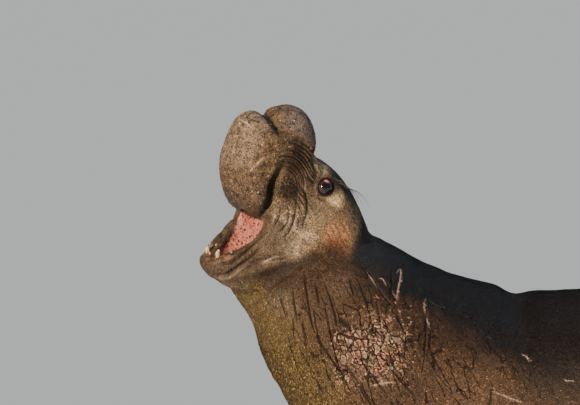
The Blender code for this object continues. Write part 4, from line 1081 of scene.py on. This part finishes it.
gap = hide.between(cobble_edge, 0.06, 0.015) * hide.between(raw_mark, 0.30, 0.8)
nose_mark = hide.kept("nose")
mottle = (hide.between(hide.noise(52, 3, 0.7), 0.34, 0.66) - 0.5) * nose_mark
tone = hide.between(fleck, 0.34, 0.66) * 1.15 + hide.between(clump, 0.3, 0.7) * 0.35 + 0.30 + mottle * 0.75
coat_tone = hide.scaled(hide.kept("hue", "Color"), tone)
coat_tone = hide.mixed(bare * (0.35 + hide.between(fleck, 0.4, 0.6) * 0.5), coat_tone, (0.36, 0.27, 0.20))
coat_tone = hide.mixed(rim * 0.92, coat_tone, hide.mixed(hide.between(hide.noise(32, 1), 0.45, 0.55),
                                                         (0.86, 0.60, 0.40), (0.86, 0.40, 0.30)))
# painted shade in the short side cracks and in the gaps between the cobbles
coat_tone = hide.mixed(side_crack * 0.93, coat_tone, (0.012, 0.008, 0.006))
coat_tone = hide.mixed(gap * 0.85, coat_tone, (0.016, 0.010, 0.007))
# pale and pink nicks, scattered over the nose
nick = hide.node("TexVoronoi", {"feature": "F1"}, {"Vector": hide.place(), "Scale": 58.0}, out="Distance")
nick_draw = hide.node("TexVoronoi", {"feature": "F1"}, {"Vector": hide.place(), "Scale": 58.0}, out="Color")
nicks = hide.between(nick, 0.22, 0.12) * hide.between(nick_draw, 0.62, 0.64) * nose_mark
coat_tone = hide.mixed(nicks * 0.85, coat_tone, (0.86, 0.54, 0.42))
lining_mark = hide.kept("lining")
papilla = hide.noise(150, 3, 0.7)
pink_tone = hide.mixed(hide.between(papilla, 0.34, 0.48), (0.70, 0.140, 0.095), (1.0, 0.47, 0.39))
pink_tone = hide.mixed(hide.between(hide.noise(105, 2, 0.8), 0.56, 0.60) * 0.92, pink_tone, (0.040, 0.022, 0.014))
wet_mark = hide.kept("wet")
height = fleck * 0.9 + clump * 0.8 - side_crack * 1.5 - gap * 1.3 + rim * 0.8 + bare * 0.6
hide.wear(Base_Color=hide.mixed(lining_mark, coat_tone, pink_tone),
          Roughness=0.58 - wet_mark * 0.14 - lining_mark * 0.25 + (clump - 0.5) * 0.2,
          Specular_IOR_Level=0.35,
          Normal=hide.bump(height, 0.0026, 1.0))

for material in list(skin.data.materials):
    skin.data.materials.clear()
skin.data.materials.append(hide.material)

# the row's own place, found from the left eye of the solids
low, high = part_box("eye_left")
HOME = (low + high) / 2 - head_point(*EYE)
SKIN_NODES = ("proboscis", "head", "lower_jaw", "neck", "chest", "torso", "hindquarters", "tail",
              "fore_flipper_left", "fore_flipper_right", "hind_flipper_left", "hind_flipper_right")


def settled(obj, slot, *nodes):
    """Moves a finished piece home, hangs it on the root and hides the solids it stands for; the slot is not used."""
    obj.data.transform(Matrix.Translation(HOME))
    obj.data.update()
    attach(obj, "root")
    if nodes:
        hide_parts(*nodes)


# The coat
# Hair about a centimetre long that lies flat towards the tail in small damp tufts, each a narrow
# pointed blade with its root in the hide. It is left off the lips, lids, cracks, scars and soles.

TUFT_LENGTH, TUFT_WIDTH, TUFT_RISE = 0.0105, 0.0034, 0.0026
NEAR_SPACING, FAR_SPACING = ((0.0036, 0.0056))

mesh = skin.data
mesh.calc_loop_triangles()
corners = np.empty(len(mesh.loop_triangles) * 3, np.int64)
mesh.loop_triangles.foreach_get("vertices", corners)
corners = corners.reshape(-1, 3)
spots, out = places_of(skin), normals_of(skin)
a_spot, b_spot, c_spot = (spots[corners[:, n]] for n in range(3))
area = np.linalg.norm(np.cross(b_spot - a_spot, c_spot - a_spot), axis=1) / 2
middle = (a_spot + b_spot + c_spot) / 3
bald = np.maximum.reduce([pink, inside * 0.9, np.clip(crack_depth * 2.2, 0, 1),
                          np.clip(fold_depth * 1.3, 0, 1), scar_depth, lid_share,
                          raw * 0.60])
keep = 1 - bald[corners].mean(axis=1)
face_middle = np.linalg.norm(middle - np.array(head_point(0.17, 0, -0.06)), axis=1) < 0.42
seen = face_middle | ((middle[:, 0] < 1.05) & (middle[:, 1] < 0.10))
spacing = np.where(seen, NEAR_SPACING, FAR_SPACING)
keep[(middle[:, 2] < 0.006)] = 0
weight = np.cumsum(area * keep / spacing ** 2)
dice = np.random.default_rng(5)
count = int(weight[-1])
picked = np.searchsorted(weight, (np.arange(count) + dice.random(count)) * weight[-1] / count)
picked = np.minimum(picked, len(corners) - 1)
p, q = dice.random(count), dice.random(count)
flip = p + q > 1
p[flip], q[flip] = 1 - p[flip], 1 - q[flip]
trio = corners[picked]
parts = np.stack([1 - p - q, p, q], 1)[:, :, None]
roots = (spots[trio] * parts).sum(1)
upright = (out[trio] * parts).sum(1)
upright /= np.linalg.norm(upright, axis=1)[:, None]


def coat_lie(places):
    """The way the hair lies: back from the lips and nose, along the body, and out along the flippers."""
    _, _, way = in_trunk(places)
    f, _, _ = in_head(places).T
    head = smoothstep(0.46, 0.30, np.linalg.norm(places - np.array(head_point(0.17, 0, -0.06)), axis=1))
    head *= smoothstep(-0.18, 0.0, f)
    swept = np.array(head_vector(-0.86, 0, -0.42))
    way = way + (swept - way) * head[:, None]
    for side in (1, -1):
        fore = (places[:, 1] * -side > 0.46) & (places[:, 2] < 0.17) & (places[:, 0] < 1.3)
        way[fore] = np.array(beside(side, 0.62, 0.785, -0.075))
        hind = (places[:, 1] * -side > 0.0) & (places[:, 0] > 3.12)
        way[hind] = np.array(beside(side, 0.945, 0.26, 0.17))
    return way


lie = coat_lie(roots)
lie -= upright * (lie * upright).sum(1)[:, None]
lie /= np.maximum(np.linalg.norm(lie, axis=1), 1e-6)[:, None]
aside = np.cross(upright, lie)
swirl = 0.35 * rumple(roots, 0.045, 41) + dice.normal(0, 0.28, count)
lie, aside = (lie * np.cos(swirl)[:, None] + aside * np.sin(swirl)[:, None],
              aside * np.cos(swirl)[:, None] - lie * np.sin(swirl)[:, None])
root_colour, root_wet = hide_colour(roots)
root_raw = shield(roots)
root_crack, root_fold, root_scar, root_lid = ((kept[trio] * parts[:, :, 0]).sum(1)
                                              for kept in (crack_depth, fold_depth, scar_depth, lid_share))
root_neck, root_nose = neck_zone(roots), nose_zone(roots)
limb_root = (roots[:, 0] > 3.1) | ((np.abs(roots[:, 1]) > 0.5) & (roots[:, 2] < 0.15))
root_head = np.linalg.norm(roots - np.array(head_point(0.17, 0, -0.06)), axis=1) < 0.42
size = dice.uniform(0.75, 1.25, count) * np.where(root_head, 0.60, 1.0) * np.where(limb_root, 0.7, 1.0)
size *= np.where(seen[picked], 1.0, 1.35) * (1 - 0.32 * root_neck)
rise = TUFT_RISE * dice.uniform(0.5, 1.25, count) * (1 - 0.55 * root_wet) * np.where(root_head, 0.75, 1.0)
bright = np.exp(dice.normal(0.0, 0.62, count) - 0.13) * (1 + 0.30 * rumple(roots, 0.012, 42))
bright = 1 + (bright - 1) * (1 - 0.45 * root_wet)
root_colour = root_colour * bright[:, None]
fade = dice.random(count)
root_colour[fade > 0.93] = root_colour[fade > 0.93] * np.array((1.7, 1.6, 1.4))
# the tufts carry the same painted shade of the cracks and creases they stand in, with the pale scars and black lid rims
root_colour = creased(root_colour, root_crack, root_fold, root_scar * 0.9, root_lid)

wide = aside * (TUFT_WIDTH * size / 2)[:, None]
far = lie * (TUFT_LENGTH * size)[:, None]
lift = upright * rise[:, None]
tufts = np.stack([roots - upright * 0.0008, roots + far * 0.42 - wide + lift * 0.45, roots + far + lift * 0.95,
                  roots + far * 0.42 + wide + lift * 0.45], 1)
clear = tufts[:, :, 2].min(1) > 0.0012

head_f = in_head(roots)
jaw_f = in_jaw(roots)
root_station, root_turn, _ = in_trunk(roots)
is_jaw = root_head & (jaw_f[:, 2] < 0.10) & (jaw_f[:, 0] > 0.05) & (head_f[:, 2] < -0.11)
is_nose = root_head & ~is_jaw & (head_f[:, 0] + 0.25 * np.maximum(head_f[:, 2], 0) > 0.30)
is_fore = (np.abs(roots[:, 1]) > 0.46) & (roots[:, 2] < 0.17) & (roots[:, 0] < 1.3) & (roots[:, 0] > 0.5)
is_hind = roots[:, 0] > 3.20
is_trunk = ~(root_head | is_fore | is_hind)
round_head = np.stack([0.5 + np.arctan2(head_f[:, 1], head_f[:, 2] + 0.04) / (2 * math.pi), (head_f[:, 0] + 0.3) / 0.8], 1)
round_jaw = np.stack([0.5 + np.arctan2(jaw_f[:, 1], -0.02 - jaw_f[:, 2]) / (2 * math.pi), (jaw_f[:, 0] + 0.1) / 0.6], 1)
round_trunk = np.stack([0.5 + root_turn / (2 * math.pi), root_station / 64], 1)
under = upright[:, 2] < 0
flat_fore = np.stack([(roots[:, 0] - 0.45) / 1.8 + 0.5 * under, (np.abs(roots[:, 1]) - 0.4) / 1.2
                      + 0.5 * (roots[:, 1] > 0)], 1)
flat_hind = np.stack([(roots[:, 0] - 3.1) / 1.4 + 0.5 * (roots[:, 1] * upright[:, 1] > 0),
                      roots[:, 2] / 1.1 + 0.5 * (roots[:, 1] > 0)], 1)
COATS = [("coat_head", root_head & ~is_jaw & ~is_nose, round_head), ("coat_nose", is_nose, round_head),
         ("coat_jaw", is_jaw, round_jaw),
         ("coat_neck", is_trunk & (root_station < 14), round_trunk),
         ("coat_chest", is_trunk & (root_station >= 14) & (root_station < 23), round_trunk),
         ("coat_shoulder", is_trunk & (root_station >= 23) & (root_station < 31), round_trunk),
         ("coat_torso", is_trunk & (root_station >= 31) & (root_station < 43), round_trunk),
         ("coat_hindquarters", is_trunk & (root_station >= 43), round_trunk),
         ("coat_fore_flippers", is_fore & ~root_head, flat_fore), ("coat_hind_flippers", is_hind, flat_hind)]

PATCH = 0.0015 * np.array(((0, -1), (-1, 0), (0, 1), (1, 0)))
for name, chosen, unwrap in COATS:
    chosen = np.where(chosen & clear)[0]
    mesh = bpy.data.meshes.new(name)
    mesh.vertices.add(len(chosen) * 4)
    mesh.vertices.foreach_set("co", tufts[chosen].astype(np.float32).ravel())
    order = np.arange(len(chosen))[:, None] * 4
    loops = (order + np.array((0, 1, 2, 0, 2, 3))).ravel()
    mesh.loops.add(len(loops))
    mesh.loops.foreach_set("vertex_index", loops.astype(np.int32))
    mesh.polygons.add(len(loops) // 3)
    mesh.polygons.foreach_set("loop_start", np.arange(0, len(loops), 3, dtype=np.int32))
    mesh.update(calc_edges=True)
    spread_uv = np.clip(unwrap[chosen][:, None, :], 0.002, 0.998) + PATCH
    mesh.uv_layers.new(name="OFBake").data.foreach_set("uv", spread_uv[:, (0, 1, 2, 0, 2, 3)].astype(np.float32).ravel())
    coloured(mesh, "hue", np.repeat(root_colour[chosen], 4, axis=0))
    marked(mesh, "wet", np.repeat(root_wet[chosen], 4))
    marked(mesh, "raw", np.repeat(root_raw[chosen], 4))
    marked(mesh, "neck", np.repeat(root_neck[chosen], 4))
    marked(mesh, "nose", np.repeat(root_nose[chosen], 4))
    marked(mesh, "lining", np.zeros(len(chosen) * 4))
    mesh.materials.append(hide.material)
    coat = bpy.data.objects.new(name, mesh)
    bpy.context.scene.collection.objects.link(coat)
    settled(coat, "skin")
    print(name, len(mesh.polygons))
settled(skin, "skin", *SKIN_NODES)
print("skin", sum(len(face.vertices) - 2 for face in skin.data.polygons))

# The tongue
# A thick wet muscle that fills the floor of the dropped jaw, pebbled on top, sunk between the gums.

TONGUE = [(0.120, 0.026, -0.030, 0.044), (0.180, 0.024, -0.034, 0.054), (0.240, 0.014, -0.034, 0.056),
          (0.290, 0.004, -0.030, 0.046), (0.318, -0.004, -0.026, 0.030)]
tongue = head_loft("tongue_flesh", TONGUE, jaw_point, sides=96, steps=14)
spots, out = places_of(tongue), normals_of(tongue)
j = in_jaw(spots)
groove = np.exp(-(j[:, 1] / 0.006) ** 2) * 0.004
spots += out * (0.0012 * rumple(spots, 0.006, 51) + 0.0008 * rumple(spots, 0.0032, 52) - groove)[:, None]
moved(tongue, spots)
tongue.data.polygons.foreach_set("use_smooth", np.ones(len(tongue.data.polygons), bool))
flesh = Finish("tongue_flesh")
grain = flesh.noise(260, 3, 0.6)
flesh.wear(Base_Color=flesh.mixed(flesh.between(grain, 0.35, 0.65), (0.36, 0.09, 0.08), (0.66, 0.24, 0.20)),
           Roughness=0.28 + grain * 0.15, Normal=flesh.bump(grain, 0.0015))
tongue.data.materials.append(flesh.material)
settled(tongue, "mouth", "tongue")

# Teeth
# Blunt worn ivory canines with yellowed flanks, small incisors between the lower ones and a row of
# small pegs along each jaw. Each stands in the gum with its root sunk in.


def tapered(name, rings, sides, flute=0.0):
    """A form along (middle, radius) rings, round or lightly fluted, with a domed tip."""
    points = []
    for n, (middle, radius) in enumerate(rings):
        ahead = (rings[min(n + 1, len(rings) - 1)][0] - rings[max(n - 1, 0)][0]).normalized()
        first = ahead.cross(LEFT.cross(ahead)).normalized()
        first = ahead.cross(UP if abs(ahead.dot(UP)) < 0.9 else FORWARD).normalized()
        second = ahead.cross(first)
        for k in range(sides):
            t = 2 * math.pi * k / sides
            swell = radius * (1 + flute * math.cos(5 * t + 0.7))
            points.append(middle + (first * math.cos(t) + second * math.sin(t)) * swell)
    return mesh_object(name, points, ring_faces(len(rings), sides))


def tooth_form(place, base, height, radius, lean, flare=0.0):
    """A blunt curved peg: thick at the gum, rounded and worn at the tip."""
    rings = []
    for t in (-0.55, -0.25, 0.0, 0.2, 0.4, 0.6, 0.76, 0.88, 0.95, 0.99, 1.0):
        width = radius * math.sqrt(max(1 - (max(t, 0) / 1.02) ** 2.6, 0.004)) * (1.0 if t > -0.1 else 0.86)
        rings.append((place(base[0] + lean * t * abs(t), base[1] * (1 + flare * max(t, 0)), base[2] + height * t), width))
    return tapered("tooth", rings, 18, 0.04)


def upside_down(forward, left, up):
    return head_point(forward, left, -up)


pegs = [tooth_form(jaw_point, (0.410, s * 0.040, 0.028), 0.016, 0.0072, -0.006, 0.12) for s in (-1, 1)]
pegs += [tooth_form(jaw_point, (0.424, s * 0.011, 0.030), 0.006, 0.0035, 0.002) for s in (-1, 1)]
pegs += [tooth_form(upside_down, (0.306, s * 0.050, 0.078), 0.024, 0.0080, -0.004, 0.10) for s in (-1, 1)]
for k in range(4):
    for s in (-1, 1):
        pegs.append(tooth_form(jaw_point, (0.372 - 0.036 * k, s * (0.060 + 0.008 * k), 0.026 - 0.004 * k), 0.007, 0.0040,
                               -0.002))
        pegs.append(tooth_form(upside_down, (0.272 - 0.028 * k, s * (0.066 + 0.004 * k), 0.076 + 0.006 * k), 0.008,
                               0.0042, 0.0))


def gathered(name, objects, smooth=True):
    """Like pieces in one mesh."""
    bm = bmesh.new()
    for obj in objects:
        bm.from_mesh(obj.data)
        bpy.data.objects.remove(obj)
    mesh = bpy.data.meshes.new(name)
    bm.to_mesh(mesh)
    bm.free()
    mesh.polygons.foreach_set("use_smooth", np.full(len(mesh.polygons), smooth))
    obj = bpy.data.objects.new(name, mesh)
    bpy.context.scene.collection.objects.link(obj)
    return obj


teeth = gathered("teeth", pegs)
ivory = Finish("ivory")
stain = ivory.noise(90, 3, 0.6, ivory.place((1, 1, 0.35)))
ivory.wear(Base_Color=ivory.mixed(ivory.between(stain, 0.42, 0.62), (0.92, 0.78, 0.48), (0.62, 0.34, 0.08)),
           Roughness=0.26 + stain * 0.2, Coat_Weight=0.3, Normal=ivory.bump(stain, 0.0006))
teeth.data.materials.append(ivory.material)
settled(teeth, "tooth")

# The eyes
# Large dark wet balls, set as deep as the lids: a very dark brown iris round a wide pupil, a black rim
# and, in the upper front corner, a painted reflection: a red crescent fixed on the ball.

eye_tones = Finish("eyeball")
ball_place = eye_tones.place()
for side, node in ((1, "eye_left"), (-1, "eye_right")):
    along, across, outward = eye_axes(side)
    bm = bmesh.new()
    bmesh.ops.create_uvsphere(bm, u_segments=64, v_segments=48, radius=EYE_RADIUS)
    eyeball = bpy.data.meshes.new("ball_" + node)
    bm.to_mesh(eyeball)
    bm.free()
    local = np.empty(len(eyeball.vertices) * 3)
    eyeball.vertices.foreach_get("co", local)
    local = local.reshape(-1, 3) / EYE_RADIUS
    swell = 1 + 0.045 * smoothstep(0.72, 0.95, local[:, 2])
    turned = local * (EYE_RADIUS * swell)[:, None]
    basis = np.array([along, across, outward])
    eyeball.vertices.foreach_set("co", (turned @ basis + np.array(head_point(EYE[0], side * EYE[1], EYE[2]))).ravel())
    gaze = np.array((0.10, -0.10, 0.99))
    gaze /= np.linalg.norm(gaze)
    from_gaze = np.degrees(np.arccos(np.clip(local @ gaze, -1, 1)))
    pupil = smoothstep(27, 24, from_gaze)
    iris = smoothstep(50, 46, from_gaze)
    tones = np.tile(np.array((0.035, 0.014, 0.010)), (len(local), 1))
    tones = blend(tones, (0.055, 0.020, 0.010), iris)
    tones = blend(tones, (0.004, 0.003, 0.003), smoothstep(6, 2, np.abs(from_gaze - 48)))
    tones = blend(tones, (0.003, 0.002, 0.002), pupil)
    # painted reflection: a red crescent fixed in the upper front corner of the ball
    corner = np.linalg.norm(local - np.array((0.20, 0.58, 0.79)), axis=1)
    tones = blend(tones, (0.75, 0.13, 0.06), smoothstep(0.36, 0.24, corner))
    coloured(eyeball, "tone", tones)
    eyeball.polygons.foreach_set("use_smooth", np.ones(len(eyeball.polygons), bool))
    eyeball.materials.append(eye_tones.material)
    obj = bpy.data.objects.new("ball_" + node, eyeball)
    bpy.context.scene.collection.objects.link(obj)
    settled(obj, "eye", node)
fibre = eye_tones.noise(500, 3, 0.7)
eye_tones.wear(Base_Color=eye_tones.scaled(eye_tones.kept("tone", "Color"), 0.6 + fibre * 0.8), Roughness=0.06,
               Coat_Weight=1.0, Coat_Roughness=0.02)

# Whiskers
# Stiff dark bristles, thick at the root and finely pointed, in rows on each whisker pad, with a few
# long ones over each eye. They bend back along the cheek and brow.

draw = random.Random(23)
bristles = []


def bristle(start, heading, sag, length, radius):
    rings = []
    for n in range(9):
        t = n / 8
        middle = start + heading * length * (t - 0.03) + sag * length * t * t
        rings.append((middle, radius * (1 - 0.88 * t)))
    return tapered("bristle", rings, 5)


for side in (1, -1):
    for row in range(4):
        for k in range(5):
            forward, up = PAD[0] + 0.020 - 0.012 * k, PAD[2] + 0.018 - 0.012 * row + draw.uniform(-0.002, 0.002)
            start = head_side(side, forward, up)
            heading = head_vector(-0.80 + draw.uniform(-0.1, 0.1), side * 0.50, -0.16 - 0.10 * row).normalized()
            sag = head_vector(-0.10, -side * 0.22, -0.20)
            bristles.append(bristle(start, heading, sag, 0.050 + 0.012 * k + draw.uniform(-0.010, 0.010), 0.0012))
    for k in range(7):
        start = head_side(side, 0.148 - 0.010 * k, 0.104 - 0.001 * (k % 3))
        heading = head_vector(-0.36, side * 0.55, 0.40 + draw.uniform(-0.08, 0.08)).normalized()
        sag = head_vector(-0.34, -side * 0.07, -0.62)
        bristles.append(bristle(start, heading, sag, 0.066 + 0.005 * k + draw.uniform(-0.008, 0.008), 0.0012))
whiskers = gathered("whiskers", bristles)
horn = Finish("bristle")
horn.wear(Base_Color=horn.mixed(horn.noise(60), (0.020, 0.012, 0.008), (0.070, 0.040, 0.022)), Roughness=0.35)
whiskers.data.materials.append(horn.material)
settled(whiskers, "whisker")

# Claws
# Dull dark horn on the end of each finger of the fore flippers, curved down to the floor.

nails = []
for side in (1, -1):
    root, rays, _ = finger_rays(side)
    for ahead, reach in rays:
        tip = root + ahead * reach
        rings = []
        for n in range(10):
            t = n / 9
            middle = tip + ahead * (-0.024 + 0.064 * t) + Vector((0, 0, 0.004 + 0.014 * t - 0.024 * t * t))
            rings.append((middle, 0.0085 * (1 - t ** 1.6 * 0.93)))
        nails.append(tapered("nail", rings, 14))
claws = gathered("claws", nails)
nail_horn = Finish("nail_horn")
band = nail_horn.noise(150, 3, 0.6, nail_horn.place((1, 1, 3)))
nail_horn.wear(Base_Color=nail_horn.mixed(band, (0.030, 0.020, 0.014), (0.110, 0.075, 0.050)),
               Roughness=0.40 + band * 0.2, Normal=nail_horn.bump(band, 0.0008))
claws.data.materials.append(nail_horn.material)
settled(claws, "claw")

# Studio: a plain pale floor, one large warm light low on the left front, and a soft cool sky.

floor_mesh = bpy.data.meshes.new("floor")
floor_mesh.from_pydata([(-60, -60, 0), (60, -60, 0), (60, 90, 0), (-60, 90, 0)], [], [(0, 1, 2, 3)])
floor = bpy.data.objects.new("floor", floor_mesh)
bpy.context.scene.collection.objects.link(floor)
paper = Finish("pale_floor")
paper.wear(Base_Color=(0.84, 0.90, 0.96), Roughness=0.9)
floor_mesh.materials.append(paper.material)


def lamp(name, coming_from, softness, strength, colour):
    """Even light from one side; a wider angle gives softer shadows."""
    made = bpy.data.lights.new(name, "SUN")
    made.angle, made.energy, made.color = math.radians(softness), strength, colour
    obj = bpy.data.objects.new(name, made)
    obj.rotation_euler = (-Vector(coming_from)).to_track_quat("-Z", "Y").to_euler()
    bpy.context.scene.collection.objects.link(obj)


lamp("key", (-0.60, -0.76, 0.26), 8, 4.3, (1.0, 0.80, 0.58))
lamp("sky", (0.30, 0.35, 0.89), 40, 0.55, (0.62, 0.80, 1.0))
world = bpy.data.worlds.new("studio")
bpy.context.scene.world = world
world.use_nodes = True
world.node_tree.nodes["Background"].inputs["Color"].default_value = (0.80, 0.86, 0.93, 1)
world.node_tree.nodes["Background"].inputs["Strength"].default_value = 0.22

camera = bpy.data.cameras.new("camera")
camera.sensor_width = 36
camera.lens = 36 * 15 / 1.798
camera.clip_end = 200
eye_level = bpy.data.objects.new("camera", camera)
bpy.context.scene.collection.objects.link(eye_level)
back = Vector((0, -math.cos(math.radians(5)), math.sin(math.radians(5))))
eye_level.location = HOME + Vector((0, 0, 0.984)) + back * 15
eye_level.rotation_euler = (-back).to_track_quat("-Z", "Y").to_euler()
bpy.context.scene.camera = eye_level
